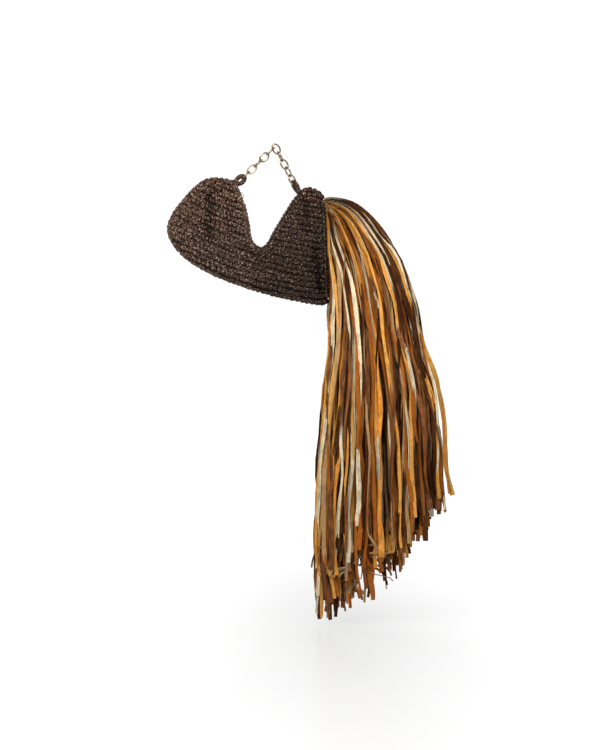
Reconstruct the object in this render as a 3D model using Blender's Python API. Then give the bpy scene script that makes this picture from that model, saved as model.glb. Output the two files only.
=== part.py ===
"""Crocheted clutch that hangs by a short oval-link chain, with a long raffia fringe down one side.

The frame has +Z up, -Y towards the viewer and +X towards the fringe. The origin is the highest point
inside the chain's top link, where a peg or a finger carries the bag. Sizes are in millimetres and are
turned into metres where the meshes are made.
"""

import math
from collections import namedtuple

import bmesh
import bpy
import numpy as np
from mathutils import Vector
from mathutils.geometry import delaunay_2d_cdt

MM = 0.001
SEAT_GAP = 0.3

# The pouch: outline seen from the front, wall, puffed depth and ribs of the crochet rows
Station = namedtuple("Station", "x z")
LEFT_AND_BASE = (
    Station(-66.5, -60.0),
    Station(-88.0, -55.5),
    Station(-110.0, -56.5),
    Station(-130.0, -68.0),
    Station(-153.0, -92.5),
    Station(-171.0, -118.0),
    Station(-177.0, -140.0),
    Station(-170.0, -161.0),
    Station(-151.0, -184.0),
    Station(-120.0, -205.0),
    Station(-78.0, -224.5),
    Station(-20.0, -244.0),
    Station(40.0, -258.0),
    Station(72.0, -263.0),
    Station(84.0, -262.0),
    Station(89.0, -255.0),
)
FRINGED_SIDE = (Station(89.0, -255.0), Station(82.0, -89.0))
RIGHT_TOP = (
    Station(82.0, -89.0),
    Station(77.5, -82.0),
    Station(69.0, -75.0),
    Station(58.0, -71.0),
    Station(46.5, -73.0),
    Station(38.5, -81.0),
)
MOUTH = (
    Station(38.5, -81.0),
    Station(28.0, -93.5),
    Station(12.0, -119.0),
    Station(-6.0, -149.0),
    Station(-13.5, -163.0),
    Station(-23.0, -168.5),
    Station(-33.5, -163.0),
    Station(-39.5, -150.0),
    Station(-42.5, -128.0),
    Station(-48.5, -102.0),
    Station(-57.0, -79.0),
    Station(-66.5, -60.0),
)
Depth = namedtuple("Depth", "x half")
PUFF = (
    Depth(-176.0, 20.0),
    Depth(-125.0, 27.0),
    Depth(-70.0, 25.0),
    Depth(-20.0, 22.0),
    Depth(35.0, 21.0),
    Depth(65.0, 17.0),
    Depth(84.0, 11.5),
    Depth(90.0, 10.5),
)
Fold = namedtuple("Fold", "x_top z_top x_low z_low width depth")
FOLDS = (
    Fold(-104.0, -82.0, -109.0, -150.0, 9.0, 5.0),
    Fold(-86.0, -70.0, -80.0, -100.0, 8.0, 2.5),
    Fold(50.0, -96.0, 54.0, -134.0, 8.0, 4.0),
    Fold(66.0, -178.0, 74.0, -238.0, 7.0, 4.5),
    Fold(-46.0, -172.0, -18.0, -196.0, 10.0, 2.5),
)
FOLDS_FADE = 14.0
EDGE_ROUNDING = 32.0
WALL = 3.4
LIP_HALF_GAP = 8.5
LIP_TAPER = 16.0
LIP_REACH = 46.0
OUTLINE_STEP = 7.5
ROW_PITCH = 8.3
RIB_HEIGHT = 1.1
STITCH_STEP = 11.5
LINING_STEP = 17.0
CLEAR_OF_EDGE = 3.0
CURVE_STEPS = 12
DATUM_TURN_X = -112.0
DATUM_SLOPE = -0.5
BASE_BELOW = -200.0
ROWS_BELOW_DATUM = 8
ROWS_REACH = 260.0
ROWS_FROM_X = -180.0
ROWS_TO_X = 92.0
SWAY_DEPTH = 3.0
SWAY_ACROSS = 58.0
SWAY_DOWN = 75.0
SWAY_PHASE = 0.6
SWAY_ENDS_X = 80.0
SWAY_FADE = 60.0

# The chain: ten oval links of round wire, taut between the two crocheted loops
WIRE_RADIUS = 1.35
LINK_HALF_LENGTH = 8.6
LINK_HALF_WIDTH = 5.7
LINK_PITCH = 2 * LINK_HALF_LENGTH - 2 * WIRE_RADIUS - SEAT_GAP
LINK_POINTS = 16
TOP_LINK_CENTRE = Vector((2.06, 0.0, -6.6))
TOP_LINK_LEAN = math.radians(28.6)
LEFT_RUN_START = Vector((-1.2, 0.0, -4.6))
LEFT_RUN_AIM = Vector((-58.0, 0.0, -58.9))
LEFT_RUN_ROLLS = (94.0, 4.0, 86.0, -6.0, 92.0)
RIGHT_RUN_AIM = Vector((31.3, 0.0, -63.2))
RIGHT_RUN_ROLLS = (-78.0, 24.0, -58.0, 36.0)

# The crocheted loops that hold the chain's ends
LoopSize = namedtuple("LoopSize", "half_length half_width cord_radius roll wire_inset")
LEFT_LOOP = LoopSize(6.9, 6.2, 2.9, 6.0, 4.7)
RIGHT_LOOP = LoopSize(9.5, 5.0, 2.45, -54.0, 4.8)
LEFT_LOOP_AXIS = Vector((-0.78, 0.0, -0.626))
RIGHT_LOOP_AXIS = Vector((0.47, 0.0, -0.883))
LOOP_POINTS = 18

# The fringe: raffia ribbons rooted in a narrow strip along the pouch's straight side
STRIP_THICKNESS = 2.6
STRIP_HALF_DEPTH = 9.0
STRIP_END_MARGIN = 1.0
ROOT_ROWS = 24
ROOT_COLUMNS = 5
ROOT_INSET = 0.55
RIBBON_WIDTH = 5.3
ROOT_WIDTH_SHARE = 0.72
RIBBON_THICKNESS = 1.3
RIBBON_OPENS_BY = 110.0
RIBBON_TURNS = (35.0, -60.0, 80.0, -25.0, 60.0)
FRINGE_HALF_DEPTH = 36.0
DEPTH_OPENS_BY = 150.0
LAYER_JITTER = 0.25
LANE_SHIFT = 0.008
WAVES_OPEN_BY = 160.0
Wave = namedtuple("Wave", "size down across")
SIDEWAYS_WAVES = (Wave(1.8, 61.0, 36.0), Wave(0.8, 27.0, 30.0))
DEPTH_WAVES = (Wave(4.0, 83.0, 60.0), Wave(1.2, 52.0, 24.0))
FAN_CENTRE_Z = -260.0
ROOT_STUB = 1.6
Drop = namedtuple("Drop", "along out down")
TOP_ARC = (
    Drop(10.5, 10.5, 2.0),
    Drop(44.0, 43.0, -5.0),
    Drop(74.0, 68.0, -23.0),
    Drop(114.0, 92.0, -55.0),
    Drop(170.0, 122.5, -102.5),
    Drop(245.0, 146.5, -171.0),
)
Level = namedtuple("Level", "z inner outer")
FALL_LINES = (
    Level(-330.0, 80.0, 248.0),
    Level(-500.0, 64.5, 271.5),
    Level(-680.0, 52.0, 281.0),
    Level(-790.0, 57.0, 286.0),
)
Tip = namedtuple("Tip", "share z")
TIPS = (
    Tip(0.0, -783.0),
    Tip(0.19, -769.0),
    Tip(0.30, -757.0),
    Tip(0.42, -748.0),
    Tip(0.525, -729.0),
    Tip(0.60, -700.0),
    Tip(0.67, -672.0),
    Tip(0.77, -646.0),
    Tip(0.88, -627.0),
    Tip(1.0, -605.0),
)
TIP_SPREAD = 17.0
LAST_SPAN = 40.0
Stray = namedtuple("Stray", "row lane out leaves_at spread tip")
STRAYS = (
    Stray(23, 3, 19.0, -400.0, 120.0, -577.0),
    Stray(0, 1, -6.0, -420.0, 110.0, -640.0),
)

YARN_BROWN = (0.060, 0.036, 0.026, 1.0)
RAFFIA_AMBER = (0.47, 0.20, 0.045, 1.0)
PALE_GOLD = (0.78, 0.62, 0.36, 1.0)


def clear_scene():
    for item in list(bpy.data.objects):
        bpy.data.objects.remove(item, do_unlink=True)


def make_material(name, colour, roughness, metallic=0.0):
    material = bpy.data.materials.new(name)
    material.use_nodes = True
    shader = material.node_tree.nodes["Principled BSDF"]
    shader.inputs["Base Color"].default_value = colour
    shader.inputs["Roughness"].default_value = roughness
    shader.inputs["Metallic"].default_value = metallic
    material.diffuse_color = colour
    return material


def place_object(name, data, material):
    data.materials.append(material)
    item = bpy.data.objects.new(name, data)
    bpy.context.scene.collection.objects.link(item)
    return item


def smooth_step(value):
    t = min(max(value, 0.0), 1.0)
    return t * t * (3.0 - 2.0 * t)


def round_profile(value):
    t = min(max(value, 0.0), 1.0)
    return math.sqrt(1.0 - (1.0 - t) ** 2)


def column(rows, field):
    return [getattr(row, field) for row in rows]


def through_points(stations, step):
    """A Catmull-Rom curve through the stations, read at even steps, ends included."""
    given = [Vector((s.x, s.z)) for s in stations]
    ends = [2 * given[0] - given[1]] + given + [2 * given[-1] - given[-2]]
    fine = []
    for a, b, c, d in zip(ends, ends[1:], ends[2:], ends[3:]):
        for k in range(CURVE_STEPS):
            t = k / CURVE_STEPS
            fine.append(
                0.5 * (2 * b + (c - a) * t + (2 * a - 5 * b + 4 * c - d) * t * t
                       + (3 * b - a - 3 * c + d) * t ** 3)
            )
    fine.append(given[-1])
    return even_steps(np.array([tuple(p) for p in fine]), step)


def even_steps(line, step):
    along = np.concatenate([[0.0], np.cumsum(np.linalg.norm(np.diff(line, axis=0), axis=1))])
    count = max(1, round(along[-1] / step))
    at = np.linspace(0.0, along[-1], count + 1)
    return np.stack([np.interp(at, along, line[:, k]) for k in range(2)], axis=1)


def distance_to_line(point, line):
    start = line[:-1]
    run = line[1:] - start
    t = np.clip(((point - start) * run).sum(1) / np.maximum((run * run).sum(1), 1e-9), 0, 1)
    return float(np.linalg.norm(start + t[:, None] * run - point, axis=1).min())


def inside_loop(point, loop):
    x, z = point
    x0, z0 = loop[:, 0], loop[:, 1]
    x1, z1 = np.roll(x0, -1), np.roll(z0, -1)
    spans = (z0 > z) != (z1 > z)
    rise = np.where(z1 == z0, 1e-9, z1 - z0)
    return bool(np.count_nonzero(spans & (x < x0 + (z - z0) * (x1 - x0) / rise)) % 2)


def inset_line(line, amount):
    """The line moved to its left side, which is the pouch's inside on the way round."""
    ahead = np.gradient(line, axis=0)
    ahead /= np.linalg.norm(ahead, axis=1)[:, None]
    return line + amount * np.stack([-ahead[:, 1], ahead[:, 0]], axis=1)


class Skin:
    """One layer of the pouch in the front view: its loop and the height of its faces over the middle."""

    def __init__(self, inset):
        left = through_points(LEFT_AND_BASE, OUTLINE_STEP)
        side = through_points(FRINGED_SIDE, OUTLINE_STEP)
        top = through_points(RIGHT_TOP, OUTLINE_STEP)
        mouth = through_points(MOUTH, OUTLINE_STEP)
        self.inset = inset
        if inset:
            left, side, top = (inset_line(line, inset) for line in (left, side, top))
            left[-1] = side[0] = left[-1] + (side[0] - FRINGED_SIDE[0])
            side[-1] = top[0] = side[-1] + (top[0] - RIGHT_TOP[0])
            mouth[0] = top[-1] = mouth[0] + inset * unit(mouth[1] - mouth[0])
            mouth[-1] = left[0] = mouth[-1] + inset * unit(mouth[-2] - mouth[-1])
        self.closed = (left, top)
        self.mouth = mouth
        self.loop = np.concatenate([left[:-1], side[:-1], top[:-1], mouth[:-1]])
        self.mouth_first = len(self.loop) - len(mouth) + 1
        self.side_range = (len(left) - 1, len(left) + len(side) - 2)

    def half_depth(self, point):
        """How far a face lies from the middle of the bag at a place in the front view."""
        off_edge = min(distance_to_line(point, line) for line in self.closed)
        full = np.interp(point[0], column(PUFF, "x"), column(PUFF, "half")) - self.inset
        puffed = full * round_profile(off_edge / (EDGE_ROUNDING - self.inset))
        puffed -= fold_depth(point) * smooth_step(off_edge / FOLDS_FADE)
        to_corner = min(np.linalg.norm(point - end) for end in (self.mouth[0], self.mouth[-1]))
        lip = (LIP_HALF_GAP - self.inset) * math.sqrt(min(1.0, to_corner / LIP_TAPER))
        share = smooth_step(distance_to_line(point, self.mouth) / LIP_REACH)
        return lip + (puffed - lip) * share


def unit(vector):
    return vector / np.linalg.norm(vector)


def fold_depth(point):
    total = 0.0
    for fold in FOLDS:
        line = np.array([(fold.x_top, fold.z_top), (fold.x_low, fold.z_low)])
        off = distance_to_line(point, line)
        total += fold.depth * math.exp(-((off / fold.width) ** 2))
    return total


def middle_sway(x, z):
    return SWAY_DEPTH * math.sin(x / SWAY_ACROSS + SWAY_PHASE) * math.cos(z / SWAY_DOWN)


def row_datum(x):
    """The height that the crochet rows run parallel to: the base, carried on straight to the left."""
    base = [row for row in LEFT_AND_BASE if row.z < BASE_BELOW]
    if x >= DATUM_TURN_X:
        return float(np.interp(x, column(base, "x"), column(base, "z")))
    return row_datum(DATUM_TURN_X) + DATUM_SLOPE * (x - DATUM_TURN_X)


def rows_in(skin, row_step, stitch_step):
    """Points along the crochet rows inside a skin, as lists of (x, z, side of the rib)."""
    rows = []
    for k in range(-ROWS_BELOW_DATUM, int(ROWS_REACH / row_step)):
        rib = 1.0 if k % 2 else -1.0
        shift = 0.5 * stitch_step * (k % 2)
        row = []
        for x in np.arange(ROWS_FROM_X + shift, ROWS_TO_X, stitch_step):
            place = np.array((x, row_datum(x) + (k + 1) * row_step))
            if inside_loop(place, skin.loop):
                if distance_to_line(place, np.vstack([skin.loop, skin.loop[:1]])) > CLEAR_OF_EDGE:
                    row.append((place[0], place[1], rib))
        rows.append(row)
    return rows


def triangulate(skin, row_step, stitch_step):
    """Triangles over a skin's front view, with edges along the rows."""
    flat = [tuple(p) for p in skin.loop]
    ribs = [0.0] * len(flat)
    border = [(k, (k + 1) % len(flat)) for k in range(len(flat))]
    along = []
    for row in rows_in(skin, row_step, stitch_step):
        for k, (x, z, rib) in enumerate(row):
            if k and x - row[k - 1][0] < 1.5 * stitch_step:
                along.append((len(flat) - 1, len(flat)))
            flat.append((x, z))
            ribs.append(rib)
    points, _, faces, origin, _, _ = delaunay_2d_cdt(
        [Vector(p) for p in flat], border + along, [list(range(len(skin.loop)))], 1, 1e-4
    )
    kept = [min(o) if o else None for o in origin]
    rib_of = [ribs[k] if k is not None else 0.0 for k in kept]
    return points, faces, kept, rib_of


def add_layer(mesh, skin, row_step, stitch_step, rib_height):
    """Front and back faces of one skin; gives the points of its mouth for each side."""
    points, faces, kept, ribs = triangulate(skin, row_step, stitch_step)
    border = len(skin.loop)
    first, last = skin.side_range
    corners = {-1: {}, 1: {}}
    for n, flat in enumerate(points):
        k = kept[n]
        place = np.array(flat)
        middle = middle_sway(*place) * sway_share(place)
        open_border = k is not None and (first < k < last or skin.mouth_first < k < border)
        if k is not None and k < border and not open_border:
            corners[-1][n] = corners[1][n] = mesh.verts.new(Vector((flat[0], middle, flat[1])) * MM)
            continue
        half = skin.half_depth(place) + rib_height * ribs[n]
        for side in (-1, 1):
            corners[side][n] = mesh.verts.new(Vector((flat[0], middle + side * half, flat[1])) * MM)
    for side in (-1, 1):
        for face in faces:
            if any(corners[-1][n] is not corners[1][n] for n in face):
                mesh.faces.new([corners[side][n] for n in face])
    at = {k: n for n, k in enumerate(kept) if k is not None}
    for k in range(first, last):
        a, b = at[k], at[k + 1]
        add_panel(mesh, corners[-1][a], corners[-1][b], corners[1][b], corners[1][a])
    mouth = list(range(skin.mouth_first, border)) + [0]
    return {side: [corners[side][at[k]] for k in mouth] for side in (-1, 1)}


def sway_share(place):
    """The sway fades out towards the straight side, so that the side stays flat."""
    return smooth_step((SWAY_ENDS_X - place[0]) / SWAY_FADE)


def add_panel(mesh, *corners):
    """A face through the corners that differ."""
    unique = list(dict.fromkeys(corners))
    if len(unique) > 2:
        mesh.faces.new(unique)


def build_pouch(material):
    outer = Skin(0.0)
    inner = Skin(WALL)
    mesh = bmesh.new()
    outer_mouth = add_layer(mesh, outer, ROW_PITCH / 2, STITCH_STEP, RIB_HEIGHT)
    inner_mouth = add_layer(mesh, inner, ROW_PITCH, LINING_STEP, 0.0)
    for side in (-1, 1):
        rim = list(zip(outer_mouth[side], inner_mouth[side]))
        for (a, b), (c, d) in zip(rim, rim[1:]):
            add_panel(mesh, a, c, d, b)
    bmesh.ops.triangulate(mesh, faces=mesh.faces[:])
    bmesh.ops.recalc_face_normals(mesh, faces=mesh.faces[:])
    data = bpy.data.meshes.new("pouch")
    mesh.to_mesh(data)
    mesh.free()
    data.shade_smooth()
    return place_object("pouch", data, material)


def oval_frame(axis, roll_degrees):
    """The two directions of an oval's plane: its long axis, and the short one turned by the roll."""
    across = Vector((-axis.z, 0.0, axis.x)).normalized()
    roll = math.radians(roll_degrees)
    return axis.normalized(), math.cos(roll) * across + math.sin(roll) * Vector((0.0, 1.0, 0.0))


def build_oval(name, centre, axis, roll, half_length, half_width, radius, points, material):
    """A closed ring of round section: a cyclic curve round an ellipse, with a bevel."""
    long, short = oval_frame(axis, roll)
    data = bpy.data.curves.new(name, "CURVE")
    data.dimensions = "3D"
    data.bevel_depth = radius * MM
    data.bevel_resolution = 1
    spline = data.splines.new("POLY")
    spline.points.add(points - 1)
    for k, point in enumerate(spline.points):
        angle = 2 * math.pi * k / points
        place = centre + half_length * math.cos(angle) * long + half_width * math.sin(angle) * short
        point.co = (*(place * MM), 1.0)
    spline.use_cyclic_u = True
    return place_object(name, data, material)


def build_link(number, centre, axis, roll, material):
    return build_oval(
        f"link_{number:02d}", centre, axis, roll,
        LINK_HALF_LENGTH, LINK_HALF_WIDTH, WIRE_RADIUS, LINK_POINTS, material,
    )


def run_of_links(start, aim, rolls):
    """Centres of the links from a wire's centre at the start, and the wire's centre at the end."""
    axis = (aim - start).normalized()
    centres = [start + (LINK_HALF_LENGTH + k * LINK_PITCH) * axis for k in range(len(rolls))]
    return axis, centres, centres[-1] + LINK_HALF_LENGTH * axis


def build_loop(name, wire, axis, size, material):
    """A crocheted loop whose far end lies round the chain's last wire."""
    axis = axis.normalized()
    centre = wire + (size.half_length - size.wire_inset) * axis
    return build_oval(
        name, centre, axis, size.roll, size.half_length, size.half_width,
        size.cord_radius, LOOP_POINTS, material,
    )


def build_chain(gold, yarn):
    top_axis = Vector((math.sin(TOP_LINK_LEAN), 0.0, -math.cos(TOP_LINK_LEAN)))
    right_start = TOP_LINK_CENTRE + (LINK_HALF_LENGTH - 2 * WIRE_RADIUS - SEAT_GAP) * top_axis
    left_axis, left, left_wire = run_of_links(LEFT_RUN_START, LEFT_RUN_AIM, LEFT_RUN_ROLLS)
    right_axis, right, right_wire = run_of_links(right_start, RIGHT_RUN_AIM, RIGHT_RUN_ROLLS)
    rows = [(c, left_axis, r) for c, r in zip(left, LEFT_RUN_ROLLS)][::-1]
    rows.append((TOP_LINK_CENTRE, top_axis, 0.0))
    rows += [(c, right_axis, r) for c, r in zip(right, RIGHT_RUN_ROLLS)]
    for number, (centre, axis, roll) in enumerate(rows, start=1):
        build_link(number, centre, axis, roll, gold)
    build_loop("loop_left", left_wire, LEFT_LOOP_AXIS, LEFT_LOOP, yarn)
    build_loop("loop_right", right_wire, RIGHT_LOOP_AXIS, RIGHT_LOOP, yarn)


def read_rows(rows, key, value, field):
    rising = sorted(rows, key=lambda row: getattr(row, key))
    return float(np.interp(value, column(rising, key), column(rising, field)))


def fan_stops(root, lane, tip):
    """A ribbon's x, z and length so far: round the top arc, scaled by the root's height, then down."""
    scale = (root.z - FAN_CENTRE_Z) / (FRINGED_SIDE[1].z - FAN_CENTRE_Z)
    share = scale + LANE_SHIFT * (lane - ROOT_COLUMNS // 2)
    stops = []
    for drop in TOP_ARC:
        along = ROOT_STUB + share * drop.along
        stops.append((root.x + ROOT_STUB + share * drop.out, root.z + share * drop.down, along))
    levels = [level.z for level in FALL_LINES if level.z > tip + LAST_SPAN] + [tip]
    for z in levels:
        inner = read_rows(FALL_LINES, "z", z, "inner")
        outer = read_rows(FALL_LINES, "z", z, "outer")
        stops.append((inner + share * (outer - inner), z, along + FAN_CENTRE_Z - z))
    return stops


def ribbon_line(root, lane, layer, tip, stray):
    """The places along a ribbon, from its root and its layer in depth (-1 to 1)."""
    line = []
    for x, z, along in fan_stops(root, lane, tip):
        y = root.y + (layer * FRINGE_HALF_DEPTH - root.y) * smooth_step(along / DEPTH_OPENS_BY)
        loose = smooth_step(along / WAVES_OPEN_BY)
        if stray:
            x += stray.out * smooth_step((stray.leaves_at - z) / stray.spread)
        x += loose * sum(w.size * math.sin(z / w.down + y / w.across) for w in SIDEWAYS_WAVES)
        y += loose * sum(w.size * math.sin(z / w.down + x / w.across) for w in DEPTH_WAVES)
        line.append((Vector((x, y, z)), along))
    return line


def ribbon_rows(rng):
    """Each ribbon's root row and lane, its layer in depth, its tip's height and its stray bend."""
    strays = {(stray.row, stray.lane): stray for stray in STRAYS}
    rows = []
    for row in range(ROOT_ROWS):
        usual = float(np.interp(row / (ROOT_ROWS - 1), column(TIPS, "share"), column(TIPS, "z")))
        for lane in range(ROOT_COLUMNS):
            layer = 2.0 * (lane + LAYER_JITTER * rng.uniform(-1.0, 1.0)) / (ROOT_COLUMNS - 1) - 1.0
            tip = usual + TIP_SPREAD * rng.uniform(-0.3, 1.0)
            stray = strays.get((row, lane))
            rows.append((row, lane, layer, stray.tip if stray else tip, stray))
    return rows


def ribbon_corners(centre, ahead, turn, width):
    """The four corners of a ribbon's section, in the order of its root's corners."""
    across = Vector((-ahead.z, 0.0, ahead.x)).normalized()
    through = across.cross(ahead).normalized()
    flat = math.cos(turn) * across + math.sin(turn) * through
    thin = -math.sin(turn) * across + math.cos(turn) * through
    near, far = (side * RIBBON_THICKNESS / 2 * thin for side in (-1, 1))
    low, high = (side * width / 2 * flat for side in (-1, 1))
    return [centre + low + near, centre + low + far, centre + high + far, centre + high + near]


def join_rings(mesh, ring, grown):
    """The four walls of a ribbon's span, with the diagonals of opposite walls side by side."""
    for k in range(4):
        a, b = ring[k], ring[(k + 1) % 4]
        c, d = grown[(k + 1) % 4], grown[k]
        for corners in ((a, b, c), (a, c, d)) if k < 2 else ((a, b, d), (b, c, d)):
            mesh.faces.new(corners)


def grow_ribbon(mesh, root_face, line, turn):
    """Draws a ribbon out of its root face, one span after another."""
    ring = list(root_face.verts)
    places = [root_face.calc_center_median() / MM] + [place for place, _ in line]
    mesh.faces.remove(root_face)
    runs = [(b - a).normalized() for a, b in zip(places, places[1:])]
    for (centre, along), before, after in zip(line, runs, runs[1:] + runs[-1:]):
        opened = smooth_step(along / RIBBON_OPENS_BY)
        width = RIBBON_WIDTH * (ROOT_WIDTH_SHARE + (1.0 - ROOT_WIDTH_SHARE) * opened)
        ahead = (before + after).normalized()
        grown = [mesh.verts.new(p * MM) for p in ribbon_corners(centre, ahead, turn * opened, width)]
        join_rings(mesh, ring, grown)
        ring = grown
    mesh.faces.new(ring)


def build_fringe(material):
    low, high = (np.array(s) for s in FRINGED_SIDE)
    up2 = unit(high - low)
    low, high = low + STRIP_END_MARGIN * up2, high - STRIP_END_MARGIN * up2
    up = Vector((up2[0], 0.0, up2[1]))
    outward = Vector((up2[1], 0.0, -up2[0]))
    start = Vector((low[0], 0.0, low[1])) + SEAT_GAP * outward
    span = float(np.linalg.norm(high - low))
    mesh = bmesh.new()
    grid = strip_block(mesh, start, up, outward, span)
    mesh.normal_update()
    bmesh.ops.inset_individual(mesh, faces=list(grid.values()), thickness=ROOT_INSET * MM)
    for row, lane, layer, tip, stray in ribbon_rows(np.random.default_rng(11)):
        face = grid[row, lane]
        root = face.calc_center_median() / MM
        turn = math.radians(RIBBON_TURNS[(2 * row + lane) % len(RIBBON_TURNS)])
        grow_ribbon(mesh, face, ribbon_line(root, lane, layer, tip, stray), turn)
    bmesh.ops.recalc_face_normals(mesh, faces=mesh.faces[:])
    data = bpy.data.meshes.new("fringe")
    mesh.to_mesh(data)
    mesh.free()
    return place_object("fringe", data, material)


def strip_block(mesh, start, up, outward, span):
    """The narrow backing strip, with its outer face split into one cell for each ribbon."""
    cell_up = span / ROOT_ROWS
    cell_across = 2 * STRIP_HALF_DEPTH / ROOT_COLUMNS
    across = Vector((0.0, 1.0, 0.0))

    def corner(row, lane, layer):
        place = start + row * cell_up * up + layer * STRIP_THICKNESS * outward
        return mesh.verts.new((place + (lane * cell_across - STRIP_HALF_DEPTH) * across) * MM)

    rows, lanes = range(ROOT_ROWS + 1), range(ROOT_COLUMNS + 1)
    front = {(r, c): corner(r, c, 1) for r in rows for c in lanes}
    cells = {}
    for r in range(ROOT_ROWS):
        for c in range(ROOT_COLUMNS):
            loop = (front[r, c], front[r, c + 1], front[r + 1, c + 1], front[r + 1, c])
            cells[r, c] = mesh.faces.new(loop)
    back = {(r, c): corner(r, c, 0) for r in (0, ROOT_ROWS) for c in (0, ROOT_COLUMNS)}
    low, high, near, far = 0, ROOT_ROWS, 0, ROOT_COLUMNS
    mesh.faces.new([back[low, near], back[high, near], back[high, far], back[low, far]])
    mesh.faces.new([front[low, c] for c in lanes] + [back[low, far], back[low, near]])
    mesh.faces.new([front[high, c] for c in lanes] + [back[high, far], back[high, near]])
    mesh.faces.new([front[r, near] for r in rows] + [back[high, near], back[low, near]])
    mesh.faces.new([front[r, far] for r in rows] + [back[high, far], back[low, far]])
    return cells


def main():
    clear_scene()
    yarn = make_material("crochet_yarn", YARN_BROWN, 0.9)
    raffia = make_material("raffia_ribbon", RAFFIA_AMBER, 0.55)
    gold = make_material("chain_metal", PALE_GOLD, 0.28, 1.0)
    build_pouch(yarn)
    build_chain(gold, yarn)
    build_fringe(raffia)


main()
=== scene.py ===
"""Looks of a crocheted clutch: stitches, chain, raffia fringe, and a plain white stage.

The pouch is a thin cloth with real yarn stitches laid over it row by row. The fringe is several hundred
flat raffia ribbons. Sizes and places are in millimetres, and in metres in the settings, the materials, the
stage and the finished meshes. A share runs from 0 to 1.
"""

import math
from collections import namedtuple

import bmesh
import bpy
import numpy as np
from bpy.props import FloatProperty, FloatVectorProperty, IntProperty, PointerProperty
from mathutils import Matrix, Vector
from mathutils.bvhtree import BVHTree
from mathutils.geometry import delaunay_2d_cdt


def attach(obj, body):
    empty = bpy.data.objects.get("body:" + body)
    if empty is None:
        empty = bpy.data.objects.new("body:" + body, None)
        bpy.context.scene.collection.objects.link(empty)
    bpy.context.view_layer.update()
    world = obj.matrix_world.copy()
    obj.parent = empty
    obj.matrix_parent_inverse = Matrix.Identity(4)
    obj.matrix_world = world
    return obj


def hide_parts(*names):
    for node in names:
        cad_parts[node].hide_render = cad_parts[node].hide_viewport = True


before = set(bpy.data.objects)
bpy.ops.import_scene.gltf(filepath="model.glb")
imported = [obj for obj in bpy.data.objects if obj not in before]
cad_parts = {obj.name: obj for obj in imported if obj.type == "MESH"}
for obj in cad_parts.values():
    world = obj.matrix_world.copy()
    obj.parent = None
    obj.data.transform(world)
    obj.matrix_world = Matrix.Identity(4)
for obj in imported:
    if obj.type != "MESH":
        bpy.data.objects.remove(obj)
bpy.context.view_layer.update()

bl_info = {
    "name": "Crochet Clutch",
    "version": (1, 0, 0),
    "blender": (4, 5, 0),
    "location": "View3D > Sidebar > Clutch",
    "description": "Models a crocheted clutch with a chain handle and a raffia fringe",
    "category": "Object",
}

MM = 0.001
TURN = 2 * math.pi
FRONT = np.array((0.0, -1.0, 0.0))

# The pouch seen from the front, in x and z: its solid's outline and puff, and its folds pressed deeper
LEFT_SIDE = (
    (-66.5, -60.0), (-88.0, -55.5), (-110.0, -56.5), (-130.0, -68.0), (-153.0, -92.5), (-171.0, -118.0),
    (-177.0, -140.0), (-170.0, -161.0), (-151.0, -184.0),
)
BASE = (
    (-120.0, -205.0), (-78.0, -224.5), (-20.0, -244.0), (40.0, -258.0), (72.0, -263.0), (84.0, -262.0),
    (89.0, -255.0),
)
FRINGED_SIDE = ((89.0, -255.0), (82.0, -89.0))
RIGHT_TOP = ((82.0, -89.0), (77.5, -82.0), (69.0, -75.0), (58.0, -71.0), (46.5, -73.0), (38.5, -81.0))
MOUTH = (
    (38.5, -81.0), (28.0, -93.5), (12.0, -119.0), (-6.0, -149.0), (-13.5, -163.0), (-23.0, -168.5),
    (-33.5, -163.0), (-39.5, -150.0), (-42.5, -128.0), (-48.5, -102.0), (-57.0, -79.0), (-66.5, -60.0),
)
PUFF_X = (-176.0, -125.0, -70.0, -20.0, 35.0, 65.0, 84.0, 90.0)
PUFF_HALF = (20.0, 27.0, 25.0, 22.0, 21.0, 17.0, 11.5, 10.5)
EDGE_ROUNDING = 32.0
LIP_HALF_GAP = 8.5
LIP_TAPER = 16.0
LIP_REACH = 46.0
Fold = namedtuple("Fold", "x_top z_top x_low z_low width depth")
FOLDS = (
    Fold(-104.0, -82.0, -109.0, -150.0, 9.5, 6.5),
    Fold(-86.0, -70.0, -80.0, -100.0, 7.0, 3.5),
    Fold(50.0, -96.0, 54.0, -134.0, 7.5, 7.0),
    Fold(62.0, -140.0, 70.0, -178.0, 7.0, 4.0),
    Fold(66.0, -178.0, 74.0, -240.0, 7.0, 8.0),
    Fold(-46.0, -172.0, -18.0, -196.0, 9.0, 4.5),
)
FOLDS_FADE = 14.0
# A fold this deep gets the full painted shade
DARKEST_DEPTH = 7.0

# Small swells of the cloth, each a wave along x and along z that the other direction bends
SWELL = 1.5
SWELL_X, SWELL_BENT_OVER_Z, SWELL_BEND_X = 8.5, 15.0, 1.4
SWELL_Z, SWELL_BENT_OVER_X, SWELL_BEND_Z = 10.0, 19.0, 0.9

# The bag's middle bends to the front and the back, and fades to straight at the fringed side
SWAY = 3.0
SWAY_START = 0.6
SWAY_OVER_X, SWAY_OVER_Z = 58.0, 75.0
SWAY_END_X, SWAY_FADE = 80.0, 60.0

# The crochet rows run parallel to the base, which is carried on straight to the left of this turn
ROWS_TURN_X = -112.0
ROWS_SLOPE = -0.5

CLOTH_STEP = 4.0
CLOTH_ROW_SHARE = 0.866
CLOTH_CLEARANCE = 2.0
CLOTH_INSET = 2.4
CLOTH_WALL = 0.0012  # metres
SIDE_INSET = 0.5
CURVE_STEPS = 12
FINE_STEP = 1.0
EDGE_RINGS = (0.4, 1.6, 3.6, 6.4)
TINY = 1e-9


def mm(metres):
    """A size of the settings, in millimetres."""
    return metres / MM


def unit_rows(rows):
    return rows / np.maximum(np.linalg.norm(rows, axis=-1, keepdims=True), TINY)


def square_to(rows, normals):
    """Directions turned square to the normals, with length 1."""
    return unit_rows(rows - (rows * normals).sum(-1, keepdims=True) * normals)


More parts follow.
